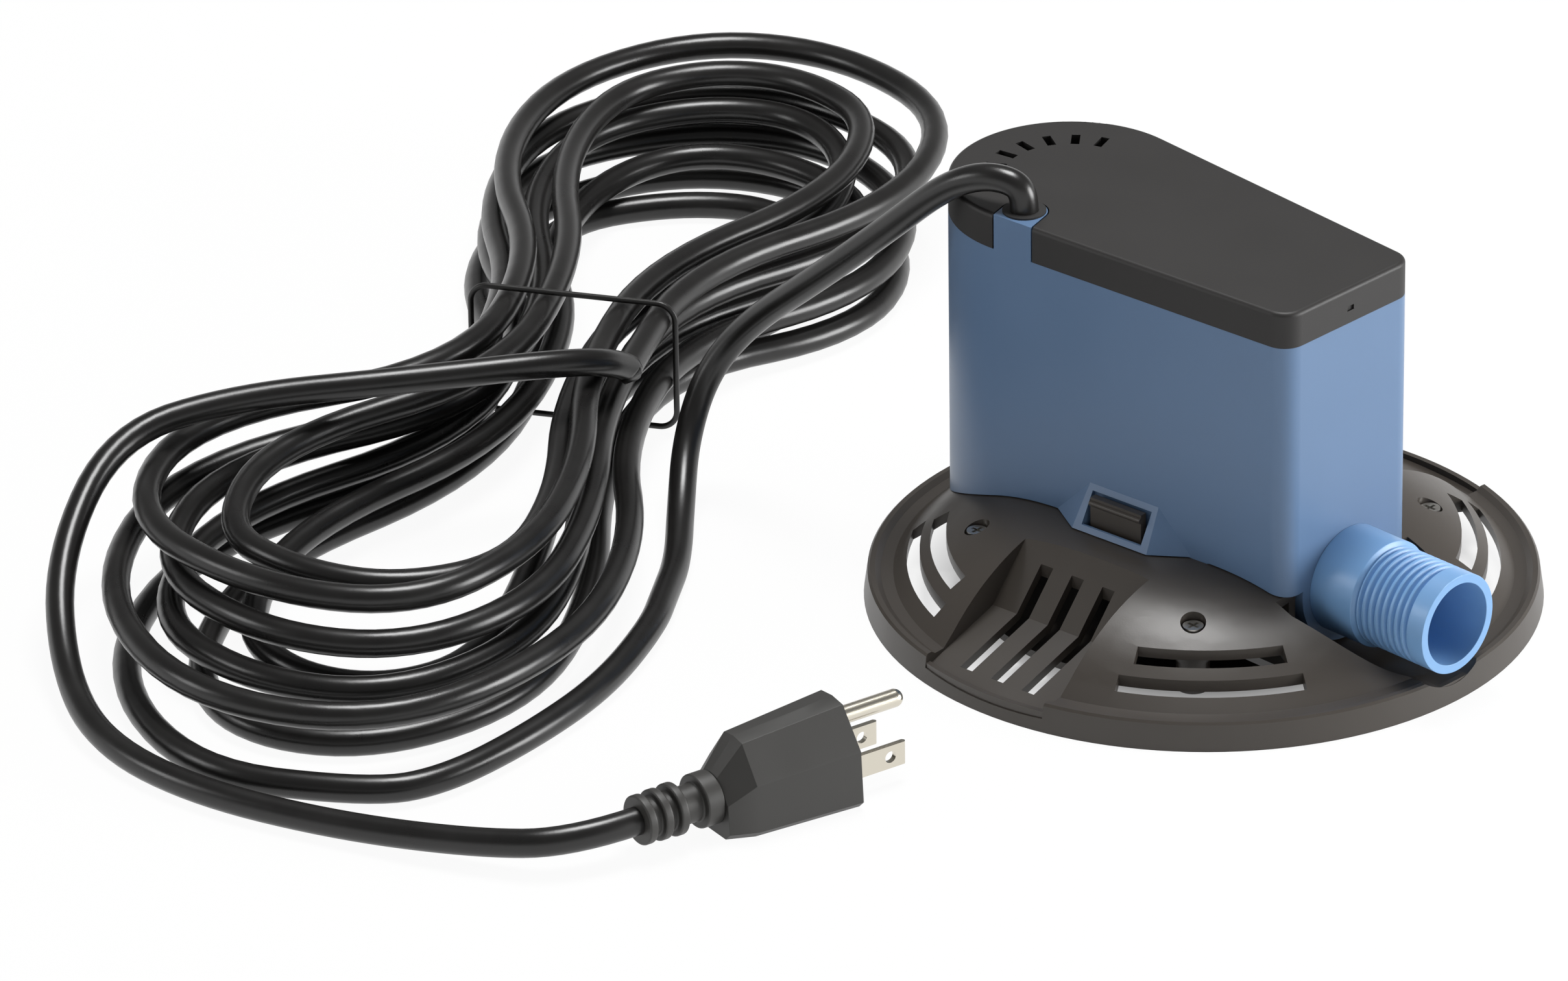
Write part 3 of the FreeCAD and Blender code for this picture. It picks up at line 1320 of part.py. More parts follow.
def cord_tie():
    """The wire tie round the hank's waist: four sides and four quarter turns."""
    step = hank_stations()[2][4]
    reach = CORD_D / 2 + TIE_GAP + TIE_R
    half = hank_stations()[6][1] - step * hank_inset(2)
    low = CORD_FLOOR + TIE_LIFT
    high = low + HANK_LAYER * 3
    diagonal = reach * math.sin(math.pi / 4)
    corners = ((half, low, 1, -1), (half, high, 1, 1), (-half, high, -1, 1), (-half, low, -1, -1))
    edges = []
    stops = []
    for across, z, sx, sz in corners:
        flat = (across, z + sz * reach)
        side = (across + sx * reach, z)
        bend = (across + sx * diagonal, z + sz * diagonal)
        order = (flat, bend, side) if sx * sz < 0 else (side, bend, flat)
        stops.append([hank_place(TIE_ALONG, *p) for p in order])
    for index, (start, bend, end) in enumerate(stops):
        edges.append(Part.Arc(start, bend, end).toShape())
        edges.append(Part.LineSegment(end, stops[(index + 1) % 4][0]).toShape())
    return pipe(edges, TIE_R)


def plug_section(x, half, height):
    points = [
        (-half, 2.0), (-half + 2.0, 0), (half - 2.0, 0), (half, 2.0), (half * 0.93, height * 0.6),
        (half * 0.35, height - 0.6), (0, height), (-half * 0.35, height - 0.6), (-half * 0.93, height * 0.6),
    ]
    ring = [Vector(x, y, z) for y, z in points]
    return Part.makePolygon(ring + [ring[0]])


def blade(side):
    y = side * BLADE_SPACING / 2
    half = BLADE_THICKNESS / 2
    solid = box(
        PLUG_LENGTH - BLADE_ROOT, PLUG_LENGTH + BLADE_LENGTH, y - half, y + half,
        BLADE_Z - BLADE_WIDTH / 2, BLADE_Z + BLADE_WIDTH / 2,
    )
    hole = Part.makeCylinder(1.6, 10, Vector(PLUG_LENGTH + BLADE_LENGTH - 4.8, y - 5, BLADE_Z), Vector(0, 1, 0))
    tip = [e for e in solid.Edges if e.BoundBox.XMin > PLUG_LENGTH + BLADE_LENGTH - 0.01 and e.Length > 2]
    return solid.makeChamfer(0.5, tip).cut(hole)


def ground_pin():
    z = BLADE_Z + GROUND_OFFSET
    pin = x_cylinder(GROUND_R, PLUG_LENGTH - BLADE_ROOT, PLUG_LENGTH + GROUND_LENGTH - GROUND_R, 0, z)
    tip = Part.makeSphere(GROUND_R, Vector(PLUG_LENGTH + GROUND_LENGTH - GROUND_R, 0, z))
    return pin.fuse(tip).removeSplitter()


def plug_body():
    rear = plug_section(0, *PLUG_REAR)
    shoulder = plug_section(PLUG_SHOULDER_X, *PLUG_SHOULDER)
    front = plug_section(PLUG_LENGTH, *PLUG_FRONT)
    body = Part.makeLoft([rear, shoulder], True, True).fuse(Part.makeLoft([shoulder, front], True, True))
    body = body.removeSplitter()
    for pin in (blade(1), blade(-1), ground_pin()):
        body = body.cut(pin)
    return body


def plug_relief():
    core = x_cylinder(RELIEF_CORE_R, -RELIEF_LENGTH, 0, 0, PLUG_CORD_Z)
    collar = x_cylinder(RELIEF_RING_R[1], -5.0, 0, 0, PLUG_CORD_Z)
    parts = [core, collar]
    for index in range(RELIEF_RINGS - 1):
        x = -RELIEF_LENGTH + index * RELIEF_PITCH
        radius = RELIEF_RING_R[0] + (RELIEF_RING_R[1] - RELIEF_RING_R[0]) * index / (RELIEF_RINGS - 1)
        parts.append(x_cylinder(radius, x, x + RELIEF_RING_W, 0, PLUG_CORD_Z))
    return joined(parts)


def build():
    return {
        "strainer_base": strainer_base(),
        "suction_plate": suction_plate(),
        "base_screws": base_screws(),
        "motor_housing": motor_housing(),
        "discharge_spigot": discharge_spigot(),
        "volute_body": volute_body(),
        "volute_cover": volute_cover(),
        "volute_o_ring": volute_o_ring(),
        "volute_screws": volute_screws(),
        "impeller": impeller(),
        "impeller_nut": impeller_nut(),
        "motor_shaft": motor_shaft(),
        "rotor_core": rotor_core(),
        "rotor_end_rings": rotor_end_rings(),
        "rotor_spacers": rotor_spacers(),
        "stator_core": stator_core(),
        "shading_rings": shading_rings(),
        "coil_bobbin": coil_bobbin(),
        "stator_coil": stator_coil(),
        "shaft_seal": shaft_seal(),
        "lower_bush": bush(LOWER_BUSH_Z),
        "upper_bush": bush(upper_bush_z()),
        "bearing_bracket": bearing_bracket(),
        "stack_bolts": stack_bolts(),
        "thermal_cut_out": thermal_cut_out(),
        "wire_splices": wire_splices(),
        "motor_cover_gasket": motor_cover_gasket(),
        "motor_cover": motor_cover(),
        "motor_cover_screws": motor_cover_screws(),
        "lid": lid(),
        "cord_bushing": cord_bushing(),
        "cord_inner_end": cord_inner_end(),
        "power_cord": power_cord(),
        "floor_cord": floor_cord(),
        "cord_hank": cord_hank(),
        "cord_tie": cord_tie(),
        "plug_tail": plug_tail(),
        "plug_body": on_plug(plug_body()),
        "plug_relief": on_plug(plug_relief()),
        "plug_blade_line": on_plug(blade(-1)),
        "plug_blade_neutral": on_plug(blade(1)),
        "plug_ground_pin": on_plug(ground_pin()),
    }


os.makedirs("parts", exist_ok=True)
for name, shape in build().items():
    solids = shape.Solids
    print(name, "solids", len(solids), "valid", shape.isValid(), "volume", round(shape.Volume, 1))
    shape.exportStep("parts/" + name + ".step")
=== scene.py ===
# %% [markdown]
# A submersible pump stands on a slotted plastic base, and its long cord lies beside it in a tied hank.
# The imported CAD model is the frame: every size and place comes from it, and this file adds what the eye
# needs, such as rounded moulded edges, the cord as one smooth line, and the finishes.

# %% Load the frame
import json
import math

import bmesh
import bpy
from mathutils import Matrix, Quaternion, Vector


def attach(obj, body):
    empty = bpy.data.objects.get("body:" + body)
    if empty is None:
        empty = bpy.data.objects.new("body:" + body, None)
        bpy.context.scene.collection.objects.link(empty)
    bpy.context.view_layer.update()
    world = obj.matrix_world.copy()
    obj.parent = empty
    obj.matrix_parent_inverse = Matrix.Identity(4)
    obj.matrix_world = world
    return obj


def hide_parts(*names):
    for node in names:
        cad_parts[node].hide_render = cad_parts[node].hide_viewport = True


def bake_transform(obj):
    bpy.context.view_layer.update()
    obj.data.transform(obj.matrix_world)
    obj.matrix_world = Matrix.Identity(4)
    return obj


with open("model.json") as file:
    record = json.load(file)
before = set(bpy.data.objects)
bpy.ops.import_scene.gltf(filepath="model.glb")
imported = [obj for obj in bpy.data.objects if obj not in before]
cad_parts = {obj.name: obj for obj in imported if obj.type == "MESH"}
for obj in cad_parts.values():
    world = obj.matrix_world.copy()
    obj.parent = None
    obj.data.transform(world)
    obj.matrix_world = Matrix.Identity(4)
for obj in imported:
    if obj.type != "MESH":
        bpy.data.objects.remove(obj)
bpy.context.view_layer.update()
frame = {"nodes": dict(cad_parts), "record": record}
nodes = frame["nodes"]
MM = 0.001

# %% [markdown]
# The photograph was taken from the front right and a little above, with a long lens from about three
# metres away. A long lens keeps the round base from looking stretched, so the same one is used here.

# %% Camera
PHOTO_AZIMUTH = math.radians(45.25)
PHOTO_ELEVATION = math.radians(27.25)
PHOTO_ROLL = math.radians(-0.83)
PHOTO_DISTANCE = 2.908
PHOTO_TARGET = Vector((-0.0344, -0.1187, 0.0612))

lens = bpy.data.cameras.new("camera")
lens.sensor_width = 36.0
lens.lens = 264.3
camera = bpy.data.objects.new("camera", lens)
bpy.context.scene.collection.objects.link(camera)
bpy.context.scene.camera = camera
toward_camera = Vector((
    math.sin(PHOTO_AZIMUTH) * math.cos(PHOTO_ELEVATION),
    -math.cos(PHOTO_AZIMUTH) * math.cos(PHOTO_ELEVATION),
    math.sin(PHOTO_ELEVATION),
))
camera.location = PHOTO_TARGET + toward_camera * PHOTO_DISTANCE
camera.rotation_mode = "QUATERNION"
camera.rotation_quaternion = (-toward_camera).to_track_quat("-Z", "Y") @ Quaternion((0, 0, 1), PHOTO_ROLL)
print("camera", [round(v, 3) for v in camera.location])

# %% [markdown]
# Colours are written as the sRGB hex values that a paint program shows, and one function turns them to
# the linear values that the renderer works in. One more small function adds a shader node, fills its
# inputs and makes its links, so that each material below reads like a recipe.


# %% Colour and node helpers
def linear(hex_colour):
    """The linear RGBA colour of an sRGB hex value."""
    channels = [int(hex_colour[i:i + 2], 16) / 255 for i in (0, 2, 4)]
    return [c / 12.92 if c <= 0.04045 else ((c + 0.055) / 1.055) ** 2.4 for c in channels] + [1.0]


def add(tree, kind, values=None, links=None, **settings):
    """Adds a shader node: settings are its own, values fill its inputs, links come from other outputs."""
    made = tree.nodes.new(kind)
    for name, value in settings.items():
        setattr(made, name, value)
    for name, value in (values or {}).items():
        made.inputs[name].default_value = value
    for name, source in (links or {}).items():
        tree.links.new(source, made.inputs[name])
    return made


def new_material(name):
    """An empty material and its node tree."""
    material = bpy.data.materials.new(name)
    material.use_nodes = True
    material.node_tree.nodes.clear()
    return material, material.node_tree


def combine(tree, operation, first, second):
    """The result of a math node on two sockets."""
    return add(tree, "ShaderNodeMath", links={0: first, 1: second}, operation=operation).outputs[0]


def finish_material(tree, shader):
    add(tree, "ShaderNodeOutputMaterial", links={"Surface": shader.outputs[0]})


print("linear mid grey", [round(v, 3) for v in linear("808080")])

# %% [markdown]
# The studio is a white sweep with a soft box high above, one low at the right and behind, which
# lights the pump's end and grazes it with shine, and a weak one at the left. The room round them is
# bright at the horizon and greyer overhead, so a dark lid seen at a slant stays dark.
# A cut-out photograph has a white ground with only a breath of shadow. So where the camera looks, most of
# the sweep's white is its own glow, through Is Camera Ray, and the rest is lit paper that takes the shadow.
# Under the dome the paper lies in the shade, so the glow fades out there and the front slots look dark.

# %% Floor, world and lamps
FLOOR_SIZE = 14.0
SWEEP_GLOW = 0.94
HORIZON_STRENGTH = 0.95
OVERHEAD_STRENGTH = 0.16
HORIZON_BELOW = 0.05
OVERHEAD_ABOVE = 0.38
DEEP_SHADE_R = 0.05
SHADE_END_R = 0.08
SHADE_GLOW = 0.06


def seen_directly(tree):
    """One where a ray comes from the camera, off a shiny surface or through glass, and nothing elsewhere."""
    rays = add(tree, "ShaderNodeLightPath").outputs
    seen = combine(tree, "MAXIMUM", rays["Is Camera Ray"], rays["Is Glossy Ray"])
    return combine(tree, "MAXIMUM", seen, rays["Is Transmission Ray"])


def open_ground(tree):
    """One on the open sweep, and nearly nothing in the shade in the middle of the dome's underside."""
    place = add(tree, "ShaderNodeTexCoord")
    distance = add(tree, "ShaderNodeVectorMath", links={0: place.outputs["Object"]}, operation="LENGTH")
    openness = add(tree, "ShaderNodeMapRange", {
        "From Min": DEEP_SHADE_R, "From Max": SHADE_END_R, "To Min": SHADE_GLOW, "To Max": 1.0,
    }, {"Value": distance.outputs["Value"]})
    return openness.outputs[0]


def studio_white():
    """The paper sweep under the object: white where the camera looks, with the object's shadow kept."""
    material, tree = new_material("white_paper_sweep")
    paper = add(tree, "ShaderNodeBsdfPrincipled", {
        "Base Color": linear("eeeeed"), "Roughness": 0.9, "Specular IOR Level": 0.2,
    })
    glow = add(tree, "ShaderNodeEmission", {"Color": (1, 1, 1, 1), "Strength": 1.0})
    seen = combine(tree, "MULTIPLY", seen_directly(tree), open_ground(tree))
    share = add(tree, "ShaderNodeMath", {1: SWEEP_GLOW}, {0: seen}, operation="MULTIPLY")
    both = add(tree, "ShaderNodeMixShader", links={
        0: share.outputs[0], 1: paper.outputs[0], 2: glow.outputs[0],
    })
    finish_material(tree, both)
    return material


def studio_world():
    """The room: bright at the horizon and greyer overhead, with no colour of its own."""
    world = bpy.data.worlds.new("studio")
    world.use_nodes = True
    tree = world.node_tree
    tree.nodes.clear()
    place = add(tree, "ShaderNodeTexCoord")
    way = add(tree, "ShaderNodeSeparateXYZ", links={0: place.outputs["Generated"]})
    level = add(tree, "ShaderNodeMapRange", {
        "From Min": HORIZON_BELOW, "From Max": OVERHEAD_ABOVE,
        "To Min": HORIZON_STRENGTH, "To Max": OVERHEAD_STRENGTH,
    }, {"Value": way.outputs["Z"]})
    room = add(tree, "ShaderNodeBackground", {"Color": (1, 1, 1, 1)}, {"Strength": level.outputs[0]})
    add(tree, "ShaderNodeOutputWorld", links={"Surface": room.outputs[0]})
    bpy.context.scene.world = world


def soft_box(name, place, target, size, watts):
    """A square lamp aimed at a point."""
    lamp = bpy.data.lights.new(name, "AREA")
    lamp.shape = "SQUARE"
    lamp.size = size
    lamp.energy = watts
    held = bpy.data.objects.new(name, lamp)
    bpy.context.scene.collection.objects.link(held)
    held.location = place
    held.rotation_mode = "QUATERNION"
    held.rotation_quaternion = (Vector(target) - Vector(place)).to_track_quat("-Z", "Y")
    return held


bpy.ops.mesh.primitive_plane_add(size=FLOOR_SIZE)
floor = bpy.context.object
floor.name = "studio_floor"
floor.data.materials.append(studio_white())
studio_world()
PUMP_MIDDLE = (0, 0, 0.05)
soft_box("soft_box_above", (-0.15, 0.18, 1.42), PUMP_MIDDLE, 0.55, 19)
soft_box("soft_box_right", (1.15, 0.9, 0.25), PUMP_MIDDLE, 0.8, 28)
soft_box("soft_box_left", (-0.9, -1.1, 0.6), (-0.15, -0.1, 0.03), 0.4, 2.5)
bpy.context.scene.view_settings.view_transform = "Standard"

# %% [markdown]
# The cord is one flexible lead, so it is one NURBS line. It leaves the lid's edge, arches over and comes
# down to the floor, runs round the near end of the hank, goes through the hank's turns, and its tail
# lies in front with the plug. The free stretches are listed points, in millimetres.

# %% The cord's free stretches
CORD_D = 7.4
CORD_EXIT = (-40.34, -24.61, 105.0)
FREE_ROUTE = [
    (-40.34, -24.61, 109.2), (-43.4, -25.8, 112.5), (-51.8, -28.9, 112.4), (-62.8, -31.6, 106.2),
    (-80.0, -35.0, 89.5), (-100.0, -39.0, 71.0), (-126.0, -40.0, 49.0), (-135.0, -47.0, 33.7),
    (-133.0, -57.0, 18.5), (-121.0, -71.0, 8.0), (-105.0, -88.0, 4.0), (-94.5, -103.0, 4.0),
    (-84.0, -118.0, 4.0), (-70.0, -149.0, 4.0), (-64.0, -181.0, 4.0), (-63.0, -211.5, 4.0),
    (-71.3, -229.3, 4.0),
]
PLUG_END = (-5.7, -200.3, 9.5)
PLUG_LEAD_IN = (-9.5, -219.9, 9.5)

# %% [markdown]
# The hank has its own plan: along its length and across it. A turn passes eight stations, and each
# station says which way the cord travels there and which way is inward, so a loop can lay turn beside
# turn and layer on layer. Each station gives two control points, so a turn has sixteen. Higher layers
# lean along the hank and bulge past the ones below, and a wave that never meets the turns' own rhythm
# shifts each loop a little, because nobody winds a cord evenly.

# %% The hank's turns
HANK_MIDDLE = (-181.0, -56.0)
HANK_ANGLE = math.radians(120.0)
HANK_LAYER = 8.9
HANK_LEAN = 10.0
HANK_BULGE = 6.0
TURNS_PER_LAYER = 2
LAST_STATION = 62
CORD_FLOOR = 4.0
TIE_LIFT = 2.8
LOOSE_PLAY = 2.6
WAVE_ALONG = 1.9
WAVE_ACROSS = 2.7
HANDLE_REACH = 0.27
STATIONS = [
    ((-205.0, -16.0), (0, -1), (1, 0), 22.0, 0.0),
    ((-132.0, -78.0), (1, 0), (0, 1), 18.5, 0.0),
    ((5.0, -26.0), (1, 0), (0, 1), 10.5, TIE_LIFT),
    ((105.0, -56.0), (1, 0), (0, 1), 16.0, 0.0),
    ((165.0, 8.0), (0, 1), (-1, 0), 14.0, 0.0),
    ((105.0, 72.0), (-1, 0), (0, -1), 17.0, 0.0),
    ((5.0, 26.0), (-1, 0), (0, -1), 10.5, TIE_LIFT),
    ((-125.0, 44.0), (-1, 0), (0, -1), 14.0, 0.0),
]


def hank_place(along, across, z):
    """A point of the hank's plan in the frame, still in millimetres."""
    x = HANK_MIDDLE[0] + along * math.cos(HANK_ANGLE) + across * math.sin(HANK_ANGLE)
    y = HANK_MIDDLE[1] + along * math.sin(HANK_ANGLE) - across * math.cos(HANK_ANGLE)
    return Vector((x, y, z))


def hank_inset(index):
    """Turns inward at a station: the spiral runs in for one layer and out for the next."""
    turns = (index / 8) % (2 * TURNS_PER_LAYER)
    return min(turns, 2 * TURNS_PER_LAYER - turns)


def hank_height(index):
    """Layers climbed at a station: each climb takes the half turn round a reversal of the spiral."""
    per_layer = 8 * TURNS_PER_LAYER
    layer = int((index + 2) // per_layer)
    past = (index + 2) - layer * per_layer
    return 0.0 if layer == 0 else layer - 1 + min(past / 4, 1.0)


def hank_station(index):
    """A station's place, in millimetres."""
    (along, across), _, inward, step, lift = STATIONS[index % 8]
    inset = hank_inset(index) * step
    height = hank_height(index)
    loose = 0.0 if lift > 0 else 1.0
    bulge = HANK_BULGE * height if index % 8 == 1 else 0.0
    along += loose * (HANK_LEAN * height + LOOSE_PLAY * math.sin(WAVE_ALONG * index))
    across += loose * LOOSE_PLAY * math.sin(WAVE_ACROSS * index + 1) - bulge
    z = CORD_FLOOR + HANK_LAYER * height + lift
    return hank_place(along + inward[0] * inset, across + inward[1] * inset, z)


def hank_handles(index):
    """Two control points at a station, one each side of it along the cord's travel."""
    _, way, _, _, _ = STATIONS[index % 8]
    here = hank_station(index)
    before = hank_station(max(index - 1, 0))
    after = hank_station(index + 1)
    travel = (hank_place(*way, 0) - hank_place(0, 0, 0)).normalized()
    climb = (after.z - before.z) / max((after - before).length, 1.0)
    travel = (travel + Vector((0, 0, climb))).normalized()
    handles = [here + travel * HANDLE_REACH * (after - here).length]
    if index > 0:
        handles.insert(0, here - travel * HANDLE_REACH * (here - before).length)
    return handles


TAIL_ROUTE = [
    (-16.0, 24.4, 33.5), (-36.0, 17.0, 44.4), (-60.0, -26.0, 44.9), (-76.0, -66.0, 43.4),
    (-97.0, -93.0, 39.4), (-134.0, -97.0, 22.0), (-166.0, -85.5, 7.0), (-195.0, -66.5, 4.0),
    (-214.0, -36.0, 4.0), (-223.0, 4.0, 4.0), (-228.0, 42.0, 6.5),
]
cord_points = [Vector(CORD_EXIT)] + [Vector(p) for p in FREE_ROUTE]
for index in range(LAST_STATION + 1):
    cord_points += hank_handles(index)
cord_points += [hank_place(*p) for p in TAIL_ROUTE] + [Vector(PLUG_LEAD_IN), Vector(PLUG_END)]
print("control points of the cord", len(cord_points))

# %% [markdown]
# Blender can thicken a curve by itself. The same NURBS line is read twice: once bare, for the points
# that the cord follows, and once with a round bevel, which gives the jacket's mesh.


# %% The cord's line and jacket
def nurbs_curve(name, points, bevel_radius=0.0, rounds=2):
    """A NURBS curve of order 3 through millimetre control points, clamped at its ends."""
    data = bpy.data.curves.new(name, "CURVE")
    data.dimensions = "3D"
    data.resolution_u = 8
    data.bevel_depth = bevel_radius
    data.bevel_resolution = rounds
    data.use_fill_caps = bevel_radius > 0
    spline = data.splines.new("NURBS")
    spline.points.add(len(points) - 1)
    for point, place in zip(spline.points, points):
        point.co = (*(place * MM), 1.0)
    spline.order_u = 3
    spline.use_endpoint_u = True
    return bpy.data.objects.new(name, data)


def evaluated_mesh(curve):
    """The mesh that a curve object makes."""
    bpy.context.scene.collection.objects.link(curve)
    mesh = bpy.data.meshes.new_from_object(curve.evaluated_get(bpy.context.evaluated_depsgraph_get()))
    bpy.data.objects.remove(curve)
    return mesh


def show(name, mesh):
    """A mesh as an object in the scene, at the origin."""
    piece = bpy.data.objects.new(name, mesh)
    bpy.context.scene.collection.objects.link(piece)
    return piece


centre_line = [v.co.copy() for v in evaluated_mesh(nurbs_curve("cord_line", cord_points)).vertices]
cord = show("cord", evaluated_mesh(nurbs_curve("cord_jacket", cord_points, CORD_D / 2 * MM, rounds=6)))
for face in cord.data.polygons:
    face.use_smooth = True

# %% [markdown]
# The jacket of an SJTW cord is soft black PVC: smooth, a little oily, with a satin shine that blurs
# along the cord. A weak, fine unevenness in the bump keeps the highlights from looking like glass.


# %% Cord jacket material
def soft_black_pvc():
    """Extruded PVC jacket: near-black, satin, with faint smears and extrusion unevenness."""
    material, tree = new_material("soft_black_pvc")
    place = add(tree, "ShaderNodeTexCoord")
    smear = add(tree, "ShaderNodeTexNoise", {"Scale": 1 / (14 * MM), "Detail": 3.0},
                {"Vector": place.outputs["Object"]})
    grain = add(tree, "ShaderNodeTexNoise", {"Scale": 1 / (0.9 * MM), "Detail": 2.0},
                {"Vector": place.outputs["Object"]})
    gloss = add(tree, "ShaderNodeMapRange", {"To Min": 0.22, "To Max": 0.36}, {"Value": smear.outputs["Fac"]})
    tone = add(tree, "ShaderNodeMix", {6: linear("131212"), 7: linear("201f1e")}, {0: smear.outputs["Fac"]},
               data_type="RGBA")
    bump = add(tree, "ShaderNodeBump", {"Strength": 0.12, "Distance": 0.1 * MM},
               {"Height": grain.outputs["Fac"]})
    jacket = add(tree, "ShaderNodeBsdfPrincipled", {"IOR": 1.53}, {
        "Base Color": tone.outputs[2], "Roughness": gloss.outputs[0], "Normal": bump.outputs[0],
    })
    finish_material(tree, jacket)
    return material


cord_jacket = soft_black_pvc()
cord.data.materials.append(cord_jacket)
print("material", cord_jacket.name)

# %% [markdown]
# Injection-moulded plastic has two looks. Its colour is all through the material and very even, and its
# surface copies the mould: a fine spark-eroded grain that makes it satin. One recipe makes every
# moulded part, from its colour, its roughness and the size of its grain.


# %% Moulded plastic
def moulded_plastic(name, colour, roughness, grain_size, grain_depth, spread=0.06):
    """Injection-moulded plastic: even colour, roughness that drifts a little, and the mould's grain."""
    material, tree = new_material(name)
    place = add(tree, "ShaderNodeTexCoord")
    drift = add(tree, "ShaderNodeTexNoise", {"Scale": 1 / (22 * MM), "Detail": 2.0},
                {"Vector": place.outputs["Object"]})
    grain = add(tree, "ShaderNodeTexNoise", {"Scale": 1 / grain_size, "Detail": 3.0, "Roughness": 0.6},
                {"Vector": place.outputs["Object"]})
    gloss = add(tree, "ShaderNodeMapRange", {"To Min": roughness - spread, "To Max": roughness + spread},
                {"Value": drift.outputs["Fac"]})
    darker = [c * 0.93 for c in linear(colour)[:3]] + [1.0]
    tone = add(tree, "ShaderNodeMix", {6: darker, 7: linear(colour)}, {0: drift.outputs["Fac"]},
               data_type="RGBA")
    bump = add(tree, "ShaderNodeBump", {"Strength": 0.35, "Distance": grain_depth},
               {"Height": grain.outputs["Fac"]})
    plastic = add(tree, "ShaderNodeBsdfPrincipled", {"IOR": 1.5}, {
        "Base Color": tone.outputs[2], "Roughness": gloss.outputs[0], "Normal": bump.outputs[0],
    })
    finish_material(tree, plastic)
    return material


blue_abs = moulded_plastic("blue_abs", "5f7a9c", 0.38, 0.5 * MM, 0.012 * MM)
light_blue_abs = moulded_plastic("light_blue_abs", "7aa5d3", 0.34, 0.5 * MM, 0.012 * MM)
black_polypropylene = moulded_plastic("black_polypropylene", "413c37", 0.36, 0.45 * MM, 0.03 * MM)
black_lid_plastic = moulded_plastic("black_lid_plastic", "201e1d", 0.52, 0.35 * MM, 0.05 * MM)
grey_nylon = moulded_plastic("grey_nylon", "8b8b8c", 0.5, 0.6 * MM, 0.02 * MM)
white_nylon = moulded_plastic("white_nylon", "d9d7cf", 0.45, 0.6 * MM, 0.02 * MM)
grey_plug_vinyl = moulded_plastic("grey_plug_vinyl", "363533", 0.48, 0.5 * MM, 0.04 * MM)
black_nitrile_rubber = moulded_plastic("black_nitrile_rubber", "1d1c1c", 0.7, 0.4 * MM, 0.04 * MM)
tie_vinyl = moulded_plastic("tie_vinyl", "1c1b1a", 0.4, 0.6 * MM, 0.02 * MM)
print("materials so far", len(bpy.data.materials))

# %% [markdown]
# The metals differ in how they were made: drawn and plated blades, ground shafts, cast aluminium,
# stamped electrical steel, enamelled copper wire and sintered bronze. A metal keeps the default IOR.


# %% Metals
def metal(name, colour, roughness, pattern_size, stretch, depth):
    """A bare metal with marks of a real size, drawn out along one axis where it was ground or drawn."""
    material, tree = new_material(name)
    place = add(tree, "ShaderNodeTexCoord")
    drawn = add(tree, "ShaderNodeMapping", {"Scale": stretch}, {"Vector": place.outputs["Object"]})
    marks = add(tree, "ShaderNodeTexNoise", {"Scale": 1 / pattern_size, "Detail": 4.0},
                {"Vector": drawn.outputs[0]})
    gloss = add(tree, "ShaderNodeMapRange", {"To Min": roughness * 0.75, "To Max": roughness * 1.3},
                {"Value": marks.outputs["Fac"]})
    bump = add(tree, "ShaderNodeBump", {"Strength": 0.3, "Distance": depth}, {"Height": marks.outputs["Fac"]})
    bare = add(tree, "ShaderNodeBsdfPrincipled", {"Base Color": linear(colour), "Metallic": 1.0}, {
        "Roughness": gloss.outputs[0], "Normal": bump.outputs[0],
    })
    finish_material(tree, bare)
    return material


nickel_plate = metal("nickel_plate", "d8d2c4", 0.24, 0.5 * MM, (1, 1, 5), 0.006 * MM)
stainless_steel = metal("stainless_steel", "c6c4bf", 0.3, 0.5 * MM, (1, 1, 1), 0.008 * MM)
ground_steel = metal("ground_steel", "c9c8c6", 0.22, 0.3 * MM, (1, 1, 12), 0.006 * MM)
cast_aluminium = metal("cast_aluminium", "b9babb", 0.5, 0.8 * MM, (1, 1, 1), 0.05 * MM)
electrical_steel = metal("electrical_steel", "77777b", 0.45, 1.2 * MM, (0.1, 0.1, 6), 0.08 * MM)
enamelled_copper = metal("enamelled_copper", "b4673a", 0.3, 0.7 * MM, (0.2, 0.2, 4), 0.12 * MM)
bare_copper = metal("bare_copper", "c87f56", 0.33, 0.6 * MM, (1, 1, 1), 0.02 * MM)
sintered_bronze = metal("sintered_bronze", "a98a58", 0.55, 0.3 * MM, (1, 1, 1), 0.04 * MM)
print("materials with the metals", len(bpy.data.materials))

# %% [markdown]
# Every slot of the record gets its material, and a CAD node that keeps its own shape takes it.

# %% Materials by slot
slot_materials = {
    "base_plastic": black_polypropylene, "housing_plastic": blue_abs, "outlet_plastic": light_blue_abs,
    "lid_plastic": black_lid_plastic, "inner_plastic": grey_nylon, "cord_rubber": cord_jacket,
    "plug_rubber": grey_plug_vinyl, "seal_rubber": black_nitrile_rubber, "blade_metal": nickel_plate,
    "screw_steel": stainless_steel, "shaft_steel": ground_steel, "stack_steel": electrical_steel,
    "rotor_aluminium": cast_aluminium, "winding_copper": enamelled_copper, "shading_copper": bare_copper,
    "bush_bronze": sintered_bronze, "bobbin_plastic": white_nylon, "splice_plastic": white_nylon,
    "tie_plastic": tie_vinyl,
}
node_slots = {row["node"]: row["material_slot"] for row in frame["record"]["subparts"]}
node_bodies = {node: body for body, names in frame["record"]["behaviour"]["bodies"].items() for node in names}
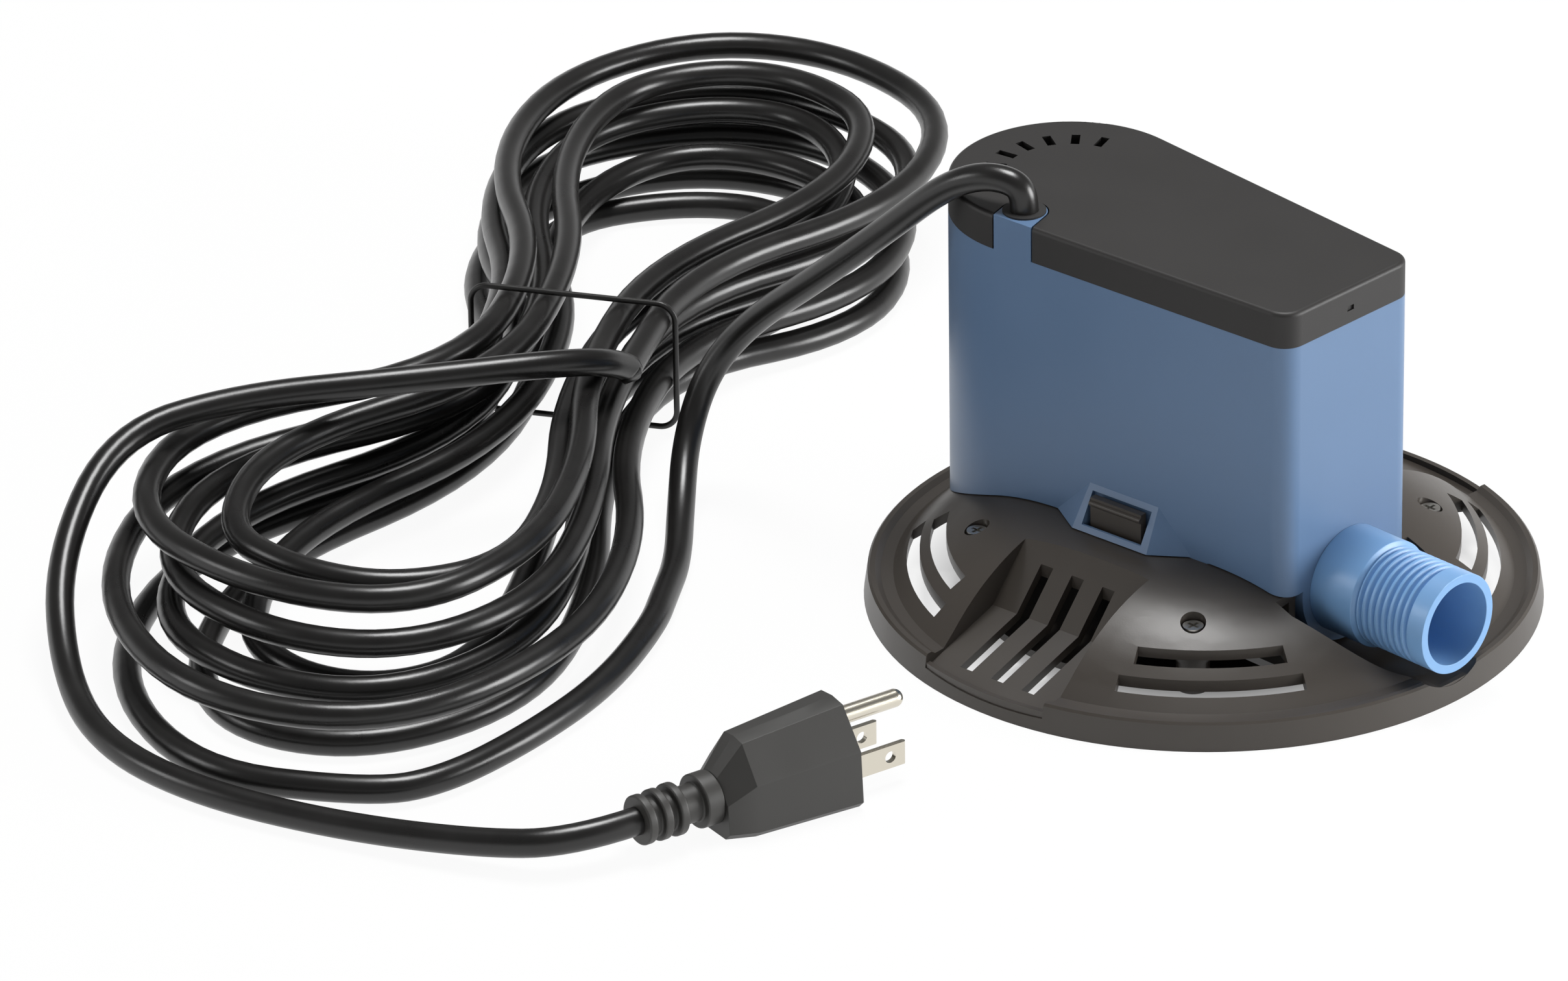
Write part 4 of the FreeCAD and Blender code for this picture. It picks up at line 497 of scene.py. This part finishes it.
for node, slot in node_slots.items():
    nodes[node].data.materials.clear()
    nodes[node].data.materials.append(slot_materials[slot])
print("nodes with a material", len(node_slots))

# %% [markdown]
# A CAD edge is a perfect corner, and a moulded one never is: it has a small radius that catches a line
# of light. A copy of the node is merged, its flat faces are joined up again, and a Bevel modifier
# rounds what is sharp. The copy stands for the node and rides on its body.


# %% Rounded copies of CAD nodes
MERGE_DISTANCE = 0.002 * MM
FLAT_ANGLE = math.radians(0.6)


def rounded_copy(node, name, radius, segments=3, sharp=28.0):
    """A copy of a CAD node with rounded edges, which then stands for it."""
    mesh = nodes[node].data.copy()
    form = bmesh.new()
    form.from_mesh(mesh)
    bmesh.ops.remove_doubles(form, verts=form.verts, dist=MERGE_DISTANCE)
    bmesh.ops.dissolve_limit(form, angle_limit=FLAT_ANGLE, verts=form.verts, edges=form.edges)
    form.to_mesh(mesh)
    form.free()
    for face in mesh.polygons:
        face.use_smooth = True
    piece = show(name, mesh)
    bevel = piece.modifiers.new("moulded_edges", "BEVEL")
    bevel.width = radius
    bevel.segments = segments
    bevel.limit_method = "ANGLE"
    bevel.angle_limit = math.radians(sharp)
    bevel.use_clamp_overlap = True
    bevel.miter_outer = "MITER_ARC"
    weighted = piece.modifiers.new("flat_faces_stay_flat", "WEIGHTED_NORMAL")
    weighted.mode = "FACE_AREA"
    weighted.weight = 100
    weighted.keep_sharp = True
    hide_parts(node)
    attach(piece, node_bodies[node])
    print(name, "faces", len(mesh.polygons))
    return piece


rounded_copy("motor_housing", "housing_shell", 0.6 * MM)
rounded_copy("lid", "pump_lid", 0.6 * MM)
rounded_copy("strainer_base", "base_dome", 0.45 * MM)
rounded_copy("discharge_spigot", "threaded_outlet", 0.3 * MM)
plug = rounded_copy("plug_body", "plug", 1.0 * MM)
relief = rounded_copy("plug_relief", "plug_strain_relief", 0.5 * MM)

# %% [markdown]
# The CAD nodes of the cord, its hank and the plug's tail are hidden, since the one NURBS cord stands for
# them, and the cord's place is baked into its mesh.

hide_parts("power_cord", "floor_cord", "cord_hank", "plug_tail")
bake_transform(cord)
